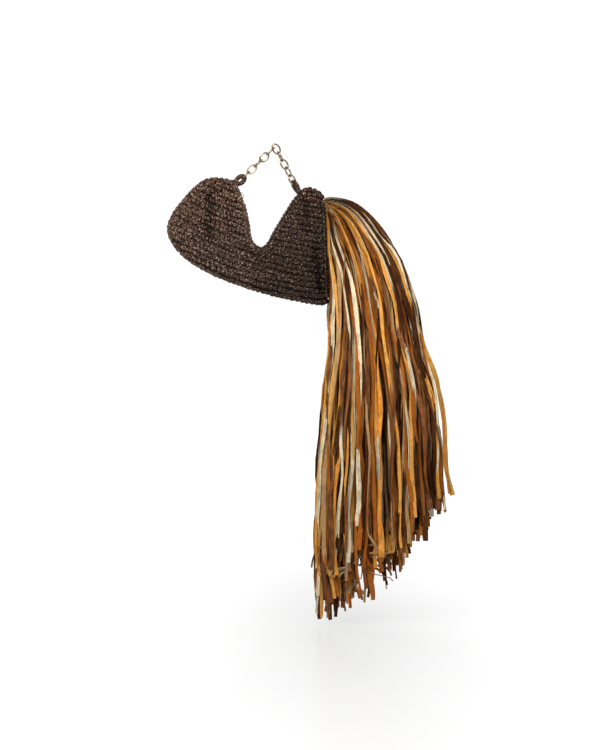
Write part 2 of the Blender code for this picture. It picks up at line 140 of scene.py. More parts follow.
def smooth_step(value):
    t = np.clip(value, 0.0, 1.0)
    return t * t * (3.0 - 2.0 * t)


def run_lengths(lines):
    """Distance along each line at each of its points."""
    steps = np.linalg.norm(np.diff(lines, axis=-2), axis=-1)
    return np.concatenate([np.zeros((*steps.shape[:-1], 1)), np.cumsum(steps, axis=-1)], axis=-1)


def read_rows(rows, along, at):
    """Rows that are known at some distances along a line, read at others."""
    return np.stack([np.interp(at, along, column) for column in rows.T], axis=1)


def even_steps(line, step):
    """The line read at even steps of about the given length, ends included."""
    along = run_lengths(line)
    return read_rows(line, along, np.linspace(0.0, along[-1], max(1, round(along[-1] / step)) + 1))


def catmull_rom(stops, steps):
    """Smooth lines through rows of stops: (lines, stops, 3) becomes (lines, points, 3)."""
    ends = np.concatenate(
        [2 * stops[:, :1] - stops[:, 1:2], stops, 2 * stops[:, -1:] - stops[:, -2:-1]], axis=1
    )
    a, b, c, d = (ends[:, k:len(ends[0]) - 3 + k, None] for k in range(4))
    t = (np.arange(steps) / steps)[None, None, :, None]
    fine = 0.5 * (
        2 * b + (c - a) * t + (2 * a - 5 * b + 4 * c - d) * t ** 2 + (3 * b - a - 3 * c + d) * t ** 3
    )
    fine = fine.reshape(len(stops), -1, stops.shape[2])
    return np.concatenate([fine, stops[:, -1:]], axis=1)


def outline_part(stops):
    return even_steps(catmull_rom(np.array([stops], float), CURVE_STEPS)[0], CLOTH_STEP)


def distance_to_line(places, line):
    start = line[None, :-1]
    run = line[None, 1:] - start
    t = ((places[:, None] - start) * run).sum(2) / np.maximum((run * run).sum(2), TINY)
    near = start + np.clip(t, 0.0, 1.0)[..., None] * run
    return np.linalg.norm(near - places[:, None], axis=2).min(1)


def inside_loop(places, loop):
    x, z = places[:, :1], places[:, 1:]
    x0, z0 = loop[None, :, 0], loop[None, :, 1]
    x1, z1 = np.roll(x0, -1, axis=1), np.roll(z0, -1, axis=1)
    rise = np.where(z1 == z0, TINY, z1 - z0)
    spans = ((z0 > z) != (z1 > z)) & (x < x0 + (z - z0) * (x1 - x0) / rise)
    return spans.sum(1) % 2 == 1


def inset_line(line, amount):
    """The line moved to its left, which is the pouch's inside on the way round."""
    ahead = unit_rows(np.gradient(line, axis=0))
    return line + amount * np.stack([-ahead[:, 1], ahead[:, 0]], axis=1)


def row_datum(x):
    """The height that the crochet rows run parallel to."""
    base_x, base_z = np.array(BASE).T
    turn_z = np.interp(ROWS_TURN_X, base_x, base_z)
    return np.where(x < ROWS_TURN_X, turn_z + ROWS_SLOPE * (x - ROWS_TURN_X), np.interp(x, base_x, base_z))


def middle_sway(places):
    """How far the bag's middle bends to the front or the back."""
    x, z = places[:, 0], places[:, 1]
    wave = SWAY * np.sin(x / SWAY_OVER_X + SWAY_START) * np.cos(z / SWAY_OVER_Z)
    return wave * smooth_step((SWAY_END_X - x) / SWAY_FADE)


def swells(places):
    x, z = places[:, 0], places[:, 1]
    wave_x = np.sin(x / SWELL_X + SWELL_BEND_X * np.sin(z / SWELL_BENT_OVER_Z))
    wave_z = np.sin(z / SWELL_Z + SWELL_BEND_Z * np.sin(x / SWELL_BENT_OVER_X))
    return wave_x * wave_z


class PouchForm:
    """The pouch's outline and the height of its faces, a little inside the solid's own."""

    def __init__(self, inset):
        parts = (LEFT_SIDE + BASE, RIGHT_TOP, MOUTH)
        left, top, mouth = (inset_line(outline_part(part), inset) for part in parts)
        side = inset_line(outline_part(FRINGED_SIDE), SIDE_INSET)
        left[-1] = side[0] = left[-1] + (side[0] - FRINGED_SIDE[0])
        side[-1] = top[0] = side[-1] + (top[0] - RIGHT_TOP[0])
        mouth[0] = top[-1] = (mouth[0] + top[-1]) / 2
        mouth[-1] = left[0] = (mouth[-1] + left[0]) / 2
        self.inset = inset
        self.left, self.side, self.top, self.mouth = left, side, top, mouth
        self.loop = np.concatenate([left[:-1], side[:-1], top[:-1], mouth[:-1]])

    def off_closed(self, places):
        return np.minimum(distance_to_line(places, self.left), distance_to_line(places, self.top))

    def off_open(self, places):
        return np.minimum(distance_to_line(places, self.side), distance_to_line(places, self.mouth))

    def pressed(self, places):
        """How deep each fold is at each place, before it fades out at the closed edges."""
        for fold in FOLDS:
            line = np.array([(fold.x_top, fold.z_top), (fold.x_low, fold.z_low)])
            yield fold.depth * np.exp(-((distance_to_line(places, line) / fold.width) ** 2))

    def painted_fold_shade(self, places):
        """How much painted shade the folds lay on each place, as a share."""
        fade = smooth_step(self.off_closed(places) / FOLDS_FADE)
        deep = np.zeros(len(places))
        for pressed in self.pressed(places):
            deep = np.maximum(deep, pressed / DARKEST_DEPTH * fade)
        return deep

    def half_depth(self, places):
        off_edge = self.off_closed(places)
        full = np.interp(places[:, 0], PUFF_X, PUFF_HALF) - self.inset
        rise = np.clip(off_edge / (EDGE_ROUNDING - self.inset), 0.0, 1.0)
        puffed = full * np.sqrt(1.0 - (1.0 - rise) ** 2)
        fade = smooth_step(off_edge / FOLDS_FADE)
        puffed += SWELL * swells(places) * fade
        for pressed in self.pressed(places):
            puffed -= pressed * fade
        to_corner = np.minimum(*(np.linalg.norm(places - self.mouth[k], axis=1) for k in (0, -1)))
        lip = (LIP_HALF_GAP - self.inset) * np.sqrt(np.minimum(1.0, to_corner / LIP_TAPER))
        share = smooth_step(distance_to_line(places, self.mouth) / LIP_REACH)
        return lip + (puffed - lip) * share

    def on_face(self, places, side):
        """Places of the front view put on the front (side -1) or back (side 1) face."""
        y = middle_sway(places) + side * self.half_depth(places)
        return np.stack([places[:, 0], y, places[:, 1]], axis=1)


# Meshes from arrays


def mesh_piece(name, points, faces, material, uv=None):
    """A new object at the origin, from points in millimetres."""
    data = bpy.data.meshes.new(name)
    data.from_pydata((np.asarray(points) * MM).tolist(), [], faces)
    if uv is not None:
        layer = data.uv_layers.new(name="UVMap")
        corners = np.empty(len(data.loops), np.int32)
        data.loops.foreach_get("vertex_index", corners)
        layer.uv.foreach_set("vector", np.asarray(uv, np.float32)[corners].ravel())
    data.materials.append(material)
    data.validate()
    item = bpy.data.objects.new(name, data)
    bpy.context.scene.collection.objects.link(item)
    return item


def select_only(item):
    bpy.ops.object.select_all(action="DESELECT")
    item.select_set(True)
    bpy.context.view_layer.objects.active = item


def add_values(item, name, values):
    """A number for each point, read by the materials."""
    layer = item.data.attributes.new(name, "FLOAT", "POINT")
    layer.data.foreach_set("value", np.asarray(values, np.float32).ravel())


def smooth_by_angle(item, degrees):
    select_only(item)
    bpy.ops.object.shade_smooth_by_angle(angle=math.radians(degrees))


def face_outwards(item, clean, **options):
    """Cleans the whole mesh with one operator and turns its faces outwards."""
    select_only(item)
    bpy.ops.object.mode_set(mode="EDIT")
    bpy.ops.mesh.select_all(action="SELECT")
    clean(**options)
    bpy.ops.mesh.select_all(action="SELECT")
    bpy.ops.mesh.normals_make_consistent(inside=False)
    bpy.ops.object.mode_set(mode="OBJECT")


def sweep(lines, facing, section):
    """Closed tubes along lines. The section is (tubes or 1, rings, corners, 2): across and out."""
    ahead = unit_rows(np.gradient(lines, axis=1))
    out = square_to(facing, ahead)
    across = np.cross(out, ahead)
    ring = section[..., :1] * across[:, :, None] + section[..., 1:] * out[:, :, None]
    points = lines[:, :, None] + ring
    index = np.arange(points[..., 0].size).reshape(points.shape[:3])
    turned = np.roll(index, -1, axis=2)
    walls = np.stack([index[:, :-1], turned[:, :-1], turned[:, 1:], index[:, 1:]], axis=-1)
    faces = walls.reshape(-1, 4).tolist()
    faces += index[:, 0, ::-1].tolist() + index[:, -1].tolist()
    return points.reshape(-1, 3), faces


def round_section(radii, corners):
    """Round sections of the given radii, (tubes, rings)."""
    angles = TURN * np.arange(corners) / corners
    circle = np.stack([np.cos(angles), np.sin(angles)], axis=1)
    return radii[..., None, None] * circle


def tube_uv(lines, corners, scale):
    """Distance along each tube and turns round it, for yarn that twists round its own line."""
    along = run_lengths(lines)[..., None] * scale
    turns = np.arange(corners) / corners
    return np.stack(np.broadcast_arrays(along, turns), axis=-1).reshape(-1, 2)


# Materials
NODE_PITCH = 240.0
NODES_IN_ROW = 8

# Ramps of the yarn: low, high, and the values at low and at high, which are 0 and 1 if left out
WARMER_HIGH = (-0.17, -0.06, 0.15, 0.8)
WARMER_LEFT = (-0.15, -0.09, 0.10, -0.03)
WARM_PATCHES = (0.4, 0.62)
# Painted light on the pouch's left lobe, and painted shade at its right side and towards its base
PAINTED_LIGHT_LEFT = (-0.05, 0.0, 1.28, 0.75)
PAINTED_SHADE_RIGHT_SIDE = (0.055, 0.085, 1.0, 0.75)
PAINTED_SHADE_BASE = (-0.24, -0.12, 0.78, 1.12)
DARK_FIBRES = (0.3, 0.7, 0.5, 1.4)
# Painted shade where the yarn lies low, between the lobes of the stitches
PAINTED_SHADE_BETWEEN_LOBES = (-0.45, 3.2, 0.06, 1.30)
# Painted shade between the plies
PAINTED_SHADE_BETWEEN_PLIES = (-1.0, 0.2, 0.62, 1.08)
YARN_ROUGHNESS = (0.3, 0.7, 0.78, 0.95)
PATCH_SCALE = 38.0
SHADE_SCALE = 260.0
FLECK_TURN = (0.0, 0.7, 0.0)
FLECK_STRETCH = (0.9, 1.0, 1.9)
FLECK_EDGE = 0.07
PLY_DEPTH = 0.7
PLY_FUZZ = 1.6

# Ramps of the raffia, and how far its fibres and its long bands are stretched along the ribbon
SECOND_DYE_BANDS = (0.42, 0.66)
FIBRE_STREAKS = (0.3, 0.7, 0.55, 1.35)
BAND_SHADES = (0.35, 0.65, 0.72, 1.2)
RAFFIA_ROUGHNESS = (0.3, 0.7, 0.38, 0.62)
FIBRE_STRETCH = (9.0, 14.0, 1.0)
BAND_STRETCH = (1.3, 5.0, 1.0)
TINT_SPREAD, TINT_LEAST = 0.5, 0.75

# Ramps and scales of the metal
TARNISHED = (0.45, 0.7, 0.0, 0.7)
PLATE_ROUGHNESS = (0.3, 0.7, 0.10, 0.24)
CLOUD_SCALE = 240.0
MARK_SCALE = 2600.0


class Wiring:
    """Adds nodes to a tree. A node's sockets, by name or in order, are given values or linked."""

    def __init__(self, tree):
        self.tree = tree

    def add(self, kind, sockets=(), **options):
        node = self.tree.nodes.new(kind)
        row, place = divmod(len(self.tree.nodes), NODES_IN_ROW)
        node.location = (place * NODE_PITCH, -row * NODE_PITCH)
        for key, value in options.items():
            setattr(node, key, value)
        for key, value in sockets.items() if isinstance(sockets, dict) else enumerate(sockets):
            if isinstance(value, bpy.types.NodeSocket):
                self.tree.links.new(value, node.inputs[key])
            else:
                node.inputs[key].default_value = value
        return node

    def math(self, operation, *values):
        return self.add("ShaderNodeMath", values, operation=operation).outputs[0]

    def ramp(self, value, low, high, to_low=0.0, to_high=1.0):
        return self.add("ShaderNodeMapRange", (value, low, high, to_low, to_high)).outputs[0]

    def mix(self, factor, first, second, blend="MIX"):
        sockets = {0: factor, 6: first, 7: second}
        return self.add("ShaderNodeMix", sockets, data_type="RGBA", blend_type=blend).outputs[2]

    def noise(self, vector, scale, detail, roughness=0.5):
        sockets = {"Vector": vector, "Scale": scale, "Detail": detail, "Roughness": roughness}
        return self.add("ShaderNodeTexNoise", sockets).outputs[0]

    def stretched(self, vector, scale):
        return self.add("ShaderNodeMapping", {"Vector": vector, "Scale": scale}).outputs[0]

    def parts(self, vector):
        return self.add("ShaderNodeSeparateXYZ", (vector,)).outputs


def new_material(name, colour, roughness, metallic=0.0, specular=0.5):
    """A material and its shader, with what is the same all over set on the shader's own sockets."""
    material = bpy.data.materials.new(name)
    material.use_nodes = True
    material.diffuse_color = (*colour, 1.0)
    shader = material.node_tree.nodes["Principled BSDF"]
    shader.inputs["Base Color"].default_value = (*colour, 1.0)
    shader.inputs["Roughness"].default_value = roughness
    shader.inputs["Metallic"].default_value = metallic
    shader.inputs["Specular IOR Level"].default_value = specular
    return material, shader


def new_group(name, inputs):
    """A shader group's wiring and inputs. It puts out a colour, a bump height and a roughness."""
    tree = bpy.data.node_groups.new(name, "ShaderNodeTree")
    for label, value in inputs.items():
        plain = isinstance(value, float)
        kind = "NodeSocketFloat" if plain else "NodeSocketColor"
        socket = tree.interface.new_socket(label, in_out="INPUT", socket_type=kind)
        socket.default_value = value if plain else (*value, 1.0)
    tree.interface.new_socket("Color", in_out="OUTPUT", socket_type="NodeSocketColor")
    for label in ("Height", "Roughness"):
        tree.interface.new_socket(label, in_out="OUTPUT", socket_type="NodeSocketFloat")
    wires = Wiring(tree)
    return wires, wires.add("NodeGroupInput").outputs


def melange_group():
    """Yarn of mixed fibres: dark ground, pale flecks, warm patches, plies that twist round it, and painted
    light and shade.
    """
    wires, given = new_group("yarn_melange", {
        "Ground": (0.06, 0.036, 0.026), "Fleck": (0.4, 0.3, 0.2), "Warm": (0.12, 0.04, 0.025),
        "Fleck Share": 0.6, "Fleck Scale": 560.0, "Plies": 3.0,
    })
    place = wires.add("ShaderNodeTexCoord").outputs
    at = wires.parts(place["Object"])
    stretch = wires.add(
        "ShaderNodeMapping", {"Vector": place["Object"], "Rotation": FLECK_TURN, "Scale": FLECK_STRETCH},
        vector_type="TEXTURE",
    )
    flecks = wires.noise(stretch.outputs[0], given["Fleck Scale"], 3.0, 0.75)
    patches = wires.noise(place["Object"], PATCH_SCALE, 2.0)
    shade = wires.noise(place["Object"], SHADE_SCALE, 1.0)
    leaned = wires.math("ADD", patches, wires.ramp(at["X"], *WARMER_LEFT))
    warm = wires.math("MULTIPLY", wires.ramp(leaned, *WARM_PATCHES), wires.ramp(at["Z"], *WARMER_HIGH))
    ground = wires.mix(warm, given["Ground"], given["Warm"])
    ground = wires.mix(1.0, ground, wires.ramp(shade, *DARK_FIBRES), "MULTIPLY")
    # Painted light and shade over the pouch: lighter on the left lobe, darker at the right side and the base
    level = wires.math("MULTIPLY", wires.ramp(at["X"], *PAINTED_SHADE_RIGHT_SIDE), wires.ramp(at["Z"], *PAINTED_SHADE_BASE))
    level = wires.math("MULTIPLY", level, wires.ramp(at["X"], *PAINTED_LIGHT_LEFT))
    top = wires.math("ADD", given["Fleck Share"], FLECK_EDGE)
    colour = wires.mix(wires.ramp(flecks, given["Fleck Share"], top), ground, given["Fleck"])
    # Painted shade where the yarn lies low, read from each point's rise
    rise = wires.add("ShaderNodeAttribute", attribute_name="rise").outputs["Fac"]
    level = wires.math("MULTIPLY", wires.ramp(rise, *PAINTED_SHADE_BETWEEN_LOBES), level)
    twist = wires.parts(place["UV"])
    turns = wires.math("ADD", wires.math("MULTIPLY", twist["Y"], given["Plies"]), twist["X"])
    wave = wires.math("SINE", wires.math("MULTIPLY", turns, TURN))
    plies = wires.math("MULTIPLY_ADD", wave, PLY_DEPTH, wires.math("MULTIPLY", flecks, PLY_FUZZ))
    # Painted shade between the plies
    level = wires.math("MULTIPLY", level, wires.ramp(wave, *PAINTED_SHADE_BETWEEN_PLIES))
    colour = wires.mix(1.0, colour, level, "MULTIPLY")
    wires.add("NodeGroupOutput", (colour, plies, wires.ramp(shade, *YARN_ROUGHNESS)))
    return wires.tree


def raffia_group():
    """Flat raffia: fine lengthwise fibres, a tint for each ribbon, long soft changes of colour, and painted
    light and shade.
    """
    wires, given = new_group("raffia_fibre", {
        "Dye": (0.6, 0.26, 0.03), "Second Dye": (0.35, 0.1, 0.02), "Spread": 0.5,
    })
    place = wires.parts(wires.add("ShaderNodeTexCoord").outputs["UV"])
    number = wires.math("FLOOR", place["X"])
    chance = wires.add("ShaderNodeTexWhiteNoise", {"W": number}, noise_dimensions="1D").outputs["Value"]
    flat = wires.add("ShaderNodeCombineXYZ", (place["X"], place["Y"])).outputs[0]
    fibres = wires.noise(wires.stretched(flat, FIBRE_STRETCH), 1.0, 4.0, 0.65)
    bands = wires.noise(wires.stretched(flat, BAND_STRETCH), 1.0, 2.0)
    toward = wires.math("MULTIPLY", chance, given["Spread"])
    change = wires.math("MULTIPLY", wires.ramp(bands, *SECOND_DYE_BANDS), given["Spread"])
    dye = wires.mix(wires.math("MAXIMUM", toward, change), given["Dye"], given["Second Dye"])
    tint = wires.math("MULTIPLY_ADD", chance, TINT_SPREAD, TINT_LEAST)
    level = wires.math("MULTIPLY", wires.ramp(fibres, *FIBRE_STREAKS), tint)
    level = wires.math("MULTIPLY", level, wires.ramp(bands, *BAND_SHADES))
    # Painted light and shade, from an attribute of each point
    painted_light = wires.add("ShaderNodeAttribute", attribute_name="painted_light").outputs["Fac"]
    level = wires.math("MULTIPLY", level, painted_light)
    colour = wires.mix(1.0, dye, level, "MULTIPLY")
    wires.add("NodeGroupOutput", (colour, fibres, wires.ramp(fibres, *RAFFIA_ROUGHNESS)))
    return wires.tree


def metal_group():
    """Plated metal: a little uneven in colour and polish, with fine rubbed marks."""
    wires, given = new_group("plated_metal", {"Plate": (0.8, 0.65, 0.4), "Tarnish": (0.45, 0.3, 0.14)})
    place = wires.add("ShaderNodeTexCoord").outputs["Object"]
    cloud = wires.noise(place, CLOUD_SCALE, 3.0)
    marks = wires.noise(place, MARK_SCALE, 2.0)
    colour = wires.mix(wires.ramp(cloud, *TARNISHED), given["Plate"], given["Tarnish"])
    wires.add("NodeGroupOutput", (colour, marks, wires.ramp(cloud, *PLATE_ROUGHNESS)))
    return wires.tree


def dress_shader(material, shader, group, values, bump, distance):
    """Places the group in the material and feeds its colour, roughness and bump to the shader."""
    wires = Wiring(material.node_tree)
    node = wires.add("ShaderNodeGroup", values, node_tree=group)
    relief = {"Strength": bump, "Distance": distance, "Height": node.outputs["Height"]}
    normal = wires.add("ShaderNodeBump", relief).outputs["Normal"]
    wires.tree.links.new(node.outputs["Color"], shader.inputs["Base Color"])
    wires.tree.links.new(node.outputs["Roughness"], shader.inputs["Roughness"])
    wires.tree.links.new(normal, shader.inputs["Normal"])
    return material


def made_once(store, name, make):
    """The thing of that name, made only the first time."""
    return store.get(name) or make()


def yarn_material(settings):
    def make():
        material, shader = new_material("crochet_yarn_melange", settings.ground, 0.88, specular=0.12)
        values = {
            "Ground": (*settings.ground, 1.0), "Fleck": (*settings.fleck, 1.0),
            "Warm": (*settings.warm, 1.0), "Fleck Share": settings.fleck_level,
        }
        group = made_once(bpy.data.node_groups, "yarn_melange", melange_group)
        return dress_shader(material, shader, group, values, bump=0.8, distance=0.0006)

    return made_once(bpy.data.materials, "crochet_yarn_melange", make)


Dye = namedtuple("Dye", "first second spread gloss")
DYES = {
    "amber": Dye((0.76, 0.42, 0.095), (0.44, 0.150, 0.014), 0.95, 0.16),
    "rust": Dye((0.41, 0.125, 0.012), (0.20, 0.046, 0.004), 0.9, 0.10),
    "straw": Dye((0.61, 0.53, 0.385), (0.52, 0.40, 0.21), 0.7, 0.18),
    "tan": Dye((0.38, 0.24, 0.115), (0.25, 0.12, 0.036), 0.7, 0.12),
    "brown": Dye((0.120, 0.046, 0.017), (0.23, 0.080, 0.020), 0.65, 0.06),
    "dark": Dye((0.034, 0.013, 0.005), (0.074, 0.025, 0.008), 0.65, 0.02),
}


def raffia_material(name):
    dye = DYES[name]
    material, shader = new_material(f"raffia_{name}", dye.first, 0.5, specular=dye.gloss)
    values = {"Dye": (*dye.first, 1.0), "Second Dye": (*dye.second, 1.0), "Spread": dye.spread}
    group = made_once(bpy.data.node_groups, "raffia_fibre", raffia_group)
    return dress_shader(material, shader, group, values, bump=0.5, distance=0.0004)


def gold_material(settings):
    material, shader = new_material("chain_pale_gold", settings.plate, 0.22, metallic=1.0)
    values = {"Plate": (*settings.plate, 1.0), "Tarnish": (*settings.tarnish, 1.0)}
    return dress_shader(material, shader, metal_group(), values, bump=0.06, distance=0.0001)


# The crochet. Each stitch is drawn with three lobes of yarn: (along, up, out, radius), the first two as
# shares of the stitch's width and height
STITCH_LEFT = np.array((
    (0.04, -0.38, -1.2, 0.8), (-0.07, -0.27, 0.8, 1.5), (-0.18, -0.12, 2.1, 1.9),
    (-0.26, 0.04, 2.2, 1.85), (-0.33, 0.18, 1.0, 1.4), (-0.36, 0.27, -1.0, 0.85),
))
STITCH_RIGHT = np.array((
    (0.08, -0.40, -1.2, 0.8), (0.15, -0.29, 0.7, 1.45), (0.22, -0.15, 1.9, 1.8),
    (0.29, 0.01, 2.1, 1.8), (0.35, 0.16, 0.9, 1.35), (0.38, 0.26, -1.0, 0.85),
))
STITCH_BAR = np.array((
    (-0.58, 0.06, -1.0, 0.85), (-0.38, 0.18, 1.1, 1.4), (-0.13, 0.24, 2.5, 1.65),
    (0.14, 0.25, 2.6, 1.65), (0.38, 0.19, 1.4, 1.4), (0.58, 0.10, -0.8, 0.85),
))
EDGE_BUMP = np.array((
    (-0.46, -0.34, -3.0, 1.3), (-0.30, -0.14, 0.0, 2.4), (-0.08, 0.0, 1.9, 2.9),
    (0.14, 0.06, 1.8, 2.8), (0.34, 0.16, -0.2, 2.2), (0.46, 0.34, -3.0, 1.3),
))
BORDER_LOBE = np.array((
    (-0.60, -0.26, -0.4, 1.0), (-0.34, -0.12, 1.4, 1.7), (-0.08, 0.04, 2.3, 2.0),
    (0.18, 0.16, 2.2, 1.95), (0.42, 0.20, 1.2, 1.6), (0.62, 0.14, -0.4, 1.0),
))
LIP_LOBE = BORDER_LOBE * np.array((1.0, 1.0, 0.75, 1.0))
LIP_BUMP = np.array((
    (-0.60, -0.30, -0.6, 1.2), (-0.34, -0.14, 1.2, 1.95), (-0.08, 0.02, 2.3, 2.3),
    (0.16, 0.10, 2.3, 2.25), (0.40, 0.18, 1.1, 1.85), (0.62, 0.24, -0.6, 1.2),
))
LOBE_RADIUS = 1.55
YARN_CORNERS = 6
YARN_TWIST = 0.26
RISE_SPREAD, RADIUS_SPREAD, TONE_SPREAD = 0.12, 0.07, 0.5

# The rows on the faces, and how near to the edges they go
ROW_NUMBERS = range(-9, 26)
ROW_X = (-182.0, 94.0, 0.8)
ROW_WOBBLE = 0.55
ROW_WAVES = ((13.0, 2.4), (31.0, 4.1))  # each a wave's length over a turn, and its shift from row to row
ROW_STAGGER = 0.25
SHORTEST_STRIP = 6
CLEAR_OF_CLOSED, CLEAR_OF_MOUTH, CLEAR_OF_SIDE = 1.6, 2.6, 5.5
CLOSED_ROW_INSET = 0.55
TALLEST_STITCH = 1.75
STEEPEST_ROW = 0.3
# Rows show as ridges from here to the right, where the stitches lie more evenly and their bars stand out
RIDGES_FROM_X, RIDGES_OVER = -95.0, 70.0
STITCH_JITTER, RIDGE_CALM = 0.7, 0.15
BAR_SINK, BAR_THINNING = 1.2, 0.17
# Painted shade in the folds, taken off the yarn's rise so that its colour darkens there
CREASE_SHADE = 2.8

# The edgings: the mouth's lips, the column beside the fringe, and the closed edges
LipRow = namedtuple("LipRow", "lean lobe spacing")
LIP_ROWS = (LipRow(0.9, LIP_BUMP, 6.8), LipRow(0.1, LIP_LOBE, 5.4))
LIP_ROW_APART = 3.6
LIP_HEIGHT = 5.0
COLUMN_INSET, COLUMN_SPACING, COLUMN_HEIGHT = 2.2, 6.6, 8.0
CLOSED_EDGE_HEIGHT = 6.0
NEAT_JITTER, EDGE_JITTER = 0.15, 0.3
# A thin end of yarn that has worked loose from the left lobe's lip
CURL = (
    (-57.5, -3.0, -78.0), (-54.0, -4.2, -79.5), (-52.2, -4.8, -82.5),
    (-52.0, -4.6, -86.0), (-53.6, -3.8, -88.6), (-55.5, -2.6, -89.0),
)
CURL_RADIUS, CURL_RISE = 0.42, 2.6


def cloth_places(form):
    """Places over the pouch's front view: its loop, rings close to its closed edges, and an even field."""
    loop = form.loop
    rings = [inset_line(line, d)[1:-1] for line in (form.left, form.top) for d in EDGE_RINGS]
    near = np.concatenate(rings)
    xs = np.arange(loop[:, 0].min(), loop[:, 0].max(), CLOTH_STEP)
    zs = np.arange(loop[:, 1].min(), loop[:, 1].max(), CLOTH_STEP * CLOTH_ROW_SHARE)
    field = np.array([(x + CLOTH_STEP / 2 * (k % 2), z) for k, z in enumerate(zs) for x in xs])
    near = near[inside_loop(near, loop)]
    field = field[inside_loop(field, loop)]
    field = field[form.off_closed(field) > EDGE_RINGS[-1] + CLOTH_CLEARANCE]
    near, field = (found[form.off_open(found) > CLOTH_CLEARANCE] for found in (near, field))
    return np.concatenate([loop, near, field])


def cloth_mesh(form):
    """Points and faces of the pouch's cloth: a front and a back that meet at the closed edges."""
    places = cloth_places(form)
    count = len(form.loop)
    border = [(k, (k + 1) % count) for k in range(count)]
    inside_only, merge_within = 1, 1e-4
    flat, _, faces, _, _, _ = delaunay_2d_cdt(
        [Vector(p) for p in places], border, [list(range(count))], inside_only, merge_within
    )
    flat = np.array([tuple(p) for p in flat])
    front, back = form.on_face(flat, -1), form.on_face(flat, 1)
    first, last = len(form.left) - 1, len(form.left) + len(form.side) - 2
    mouth_first = count - len(form.mouth) + 1
    shared = [k for k in range(count) if not (first <= k <= last or k > mouth_first)]
    front[shared, 1] = middle_sway(flat[shared])
    back_index = np.arange(len(flat)) + len(flat)
    back_index[shared] = shared
    points = np.concatenate([front, back])
    walls = [list(face) for face in faces]
    walls += [[int(back_index[k]) for k in reversed(face)] for face in faces]
    walls += [[k + 1, k, int(back_index[k]), int(back_index[k + 1])] for k in range(first, last)]
    return points, walls


def build_cloth(settings):
    points, faces = cloth_mesh(PouchForm(CLOTH_INSET))
    # The cloth has no rise, so the yarn colour darkens it with painted shade, as in the gaps between stitches
    cloth = mesh_piece("pouch_cloth", points, faces, yarn_material(settings))
    face_outwards(cloth, bpy.ops.mesh.delete_loose)
    return cloth


def thicken_cloth(cloth):
    select_only(cloth)
    wall = cloth.modifiers.new("wall", "SOLIDIFY")
    wall.thickness = CLOTH_WALL
    wall.offset = -1.0
    bpy.ops.object.modifier_apply(modifier="wall")
    smooth_by_angle(cloth, 60)


def cloth_surface(cloth):
    """The cloth's outer face, for the yarn to lie on."""
    mesh = bmesh.new()
    mesh.from_mesh(cloth.data)
    surface = BVHTree.FromBMesh(mesh)
    mesh.free()
    return surface


def on_cloth(surface, places):
    """The nearest places on the cloth, and the way that it faces there."""
    spots, normals = zip(*(surface.find_nearest(Vector(place) * MM)[:2] for place in places))
    return np.array(spots) / MM, np.array(normals)


def yarn_scale(settings):
    return mm(settings.yarn_radius) / LOBE_RADIUS


def lay_lobes(surface, centres, along, out, lobe, widths, heights, scale, rng, jitter):
    """Lobes of yarn, on the cloth where a surface is given: lines, normals, radii and rise, which also sets
    the yarn's painted shade.
    """
    up = unit_rows(np.cross(out, along))
    steps = lobe[None, :, :2] * np.stack(np.broadcast_arrays(widths, heights), axis=1)[:, None]
    steps = steps + np.reshape(jitter, (-1, 1, 1)) * rng.normal(0.0, 1.0, (len(centres), 1, 2))
    places = centres[:, None] + steps[..., :1] * along[:, None] + steps[..., 1:] * up[:, None]
    normals = np.repeat(out[:, None], len(lobe), axis=1)
    if surface is not None:
        places, normals = (v.reshape(places.shape) for v in on_cloth(surface, places.reshape(-1, 3)))
    rise = lobe[None, :, 2] * (1.0 + rng.normal(0.0, RISE_SPREAD, (len(centres), 1)))
    lines = places + rise[..., None] * normals
    radii = lobe[None, :, 3] * scale * (1.0 + rng.normal(0.0, RADIUS_SPREAD, (len(centres), 1)))
    return lines, normals, radii, rise + rng.normal(0.0, TONE_SPREAD, (len(centres), 1))


class Yarn:
    """Gathers lobes of yarn and makes one mesh of them."""

    def __init__(self):
        self.lobes = []

    def add(self, lines, normals, radii, rise):
        self.lobes.append((lines, normals, radii, rise))

    def build(self, name, material):
        lines, normals, radii, rise = (np.concatenate(part) for part in zip(*self.lobes))
        section = round_section(radii, YARN_CORNERS)
        points, faces = sweep(lines, normals, section)
        piece = mesh_piece(name, points, faces, material, tube_uv(lines, YARN_CORNERS, YARN_TWIST))
        # The colour reads this rise for painted shade, lower on each tube's side towards the cloth
        add_values(piece, "rise", rise[..., None] + section[..., 1])
        smooth_by_angle(piece, 75)
        return piece


def stations(line, spacing, shift=0.0):
    """Centres, directions and widths of stitches at even distances along a line."""
    length = np.linalg.norm(np.diff(line, axis=0), axis=1).sum()
    count = max(1, round(length / spacing))
    width = length / count
    at = (np.arange(count) + 0.5 + shift) * width
    at = at[at < length]
    along = run_lengths(line)
    ahead = read_rows(np.gradient(line, axis=0), along, at)
    return read_rows(line, along, at), unit_rows(ahead), np.full(len(at), width)


def face_strips(form, number, pitch):
    """The stretches of one crochet row that lie on a face, as lines in the front view."""
    x = np.arange(*ROW_X)
    wobble = ROW_WOBBLE * sum(np.sin(x / over + shift * number) for over, shift in ROW_WAVES)
    places = np.stack([x, row_datum(x) + (number + 0.5) * pitch + wobble], axis=1)
    clear = inside_loop(places, form.loop) & (form.off_closed(places) > CLEAR_OF_CLOSED)
    clear &= distance_to_line(places, form.mouth) > CLEAR_OF_MOUTH
    clear &= distance_to_line(places, form.side) > CLEAR_OF_SIDE
    marks = np.flatnonzero(np.diff(np.concatenate([[0], clear.astype(int), [0]])))
    return [places[a:b] for a, b in zip(marks[::2], marks[1::2]) if b - a > SHORTEST_STRIP]


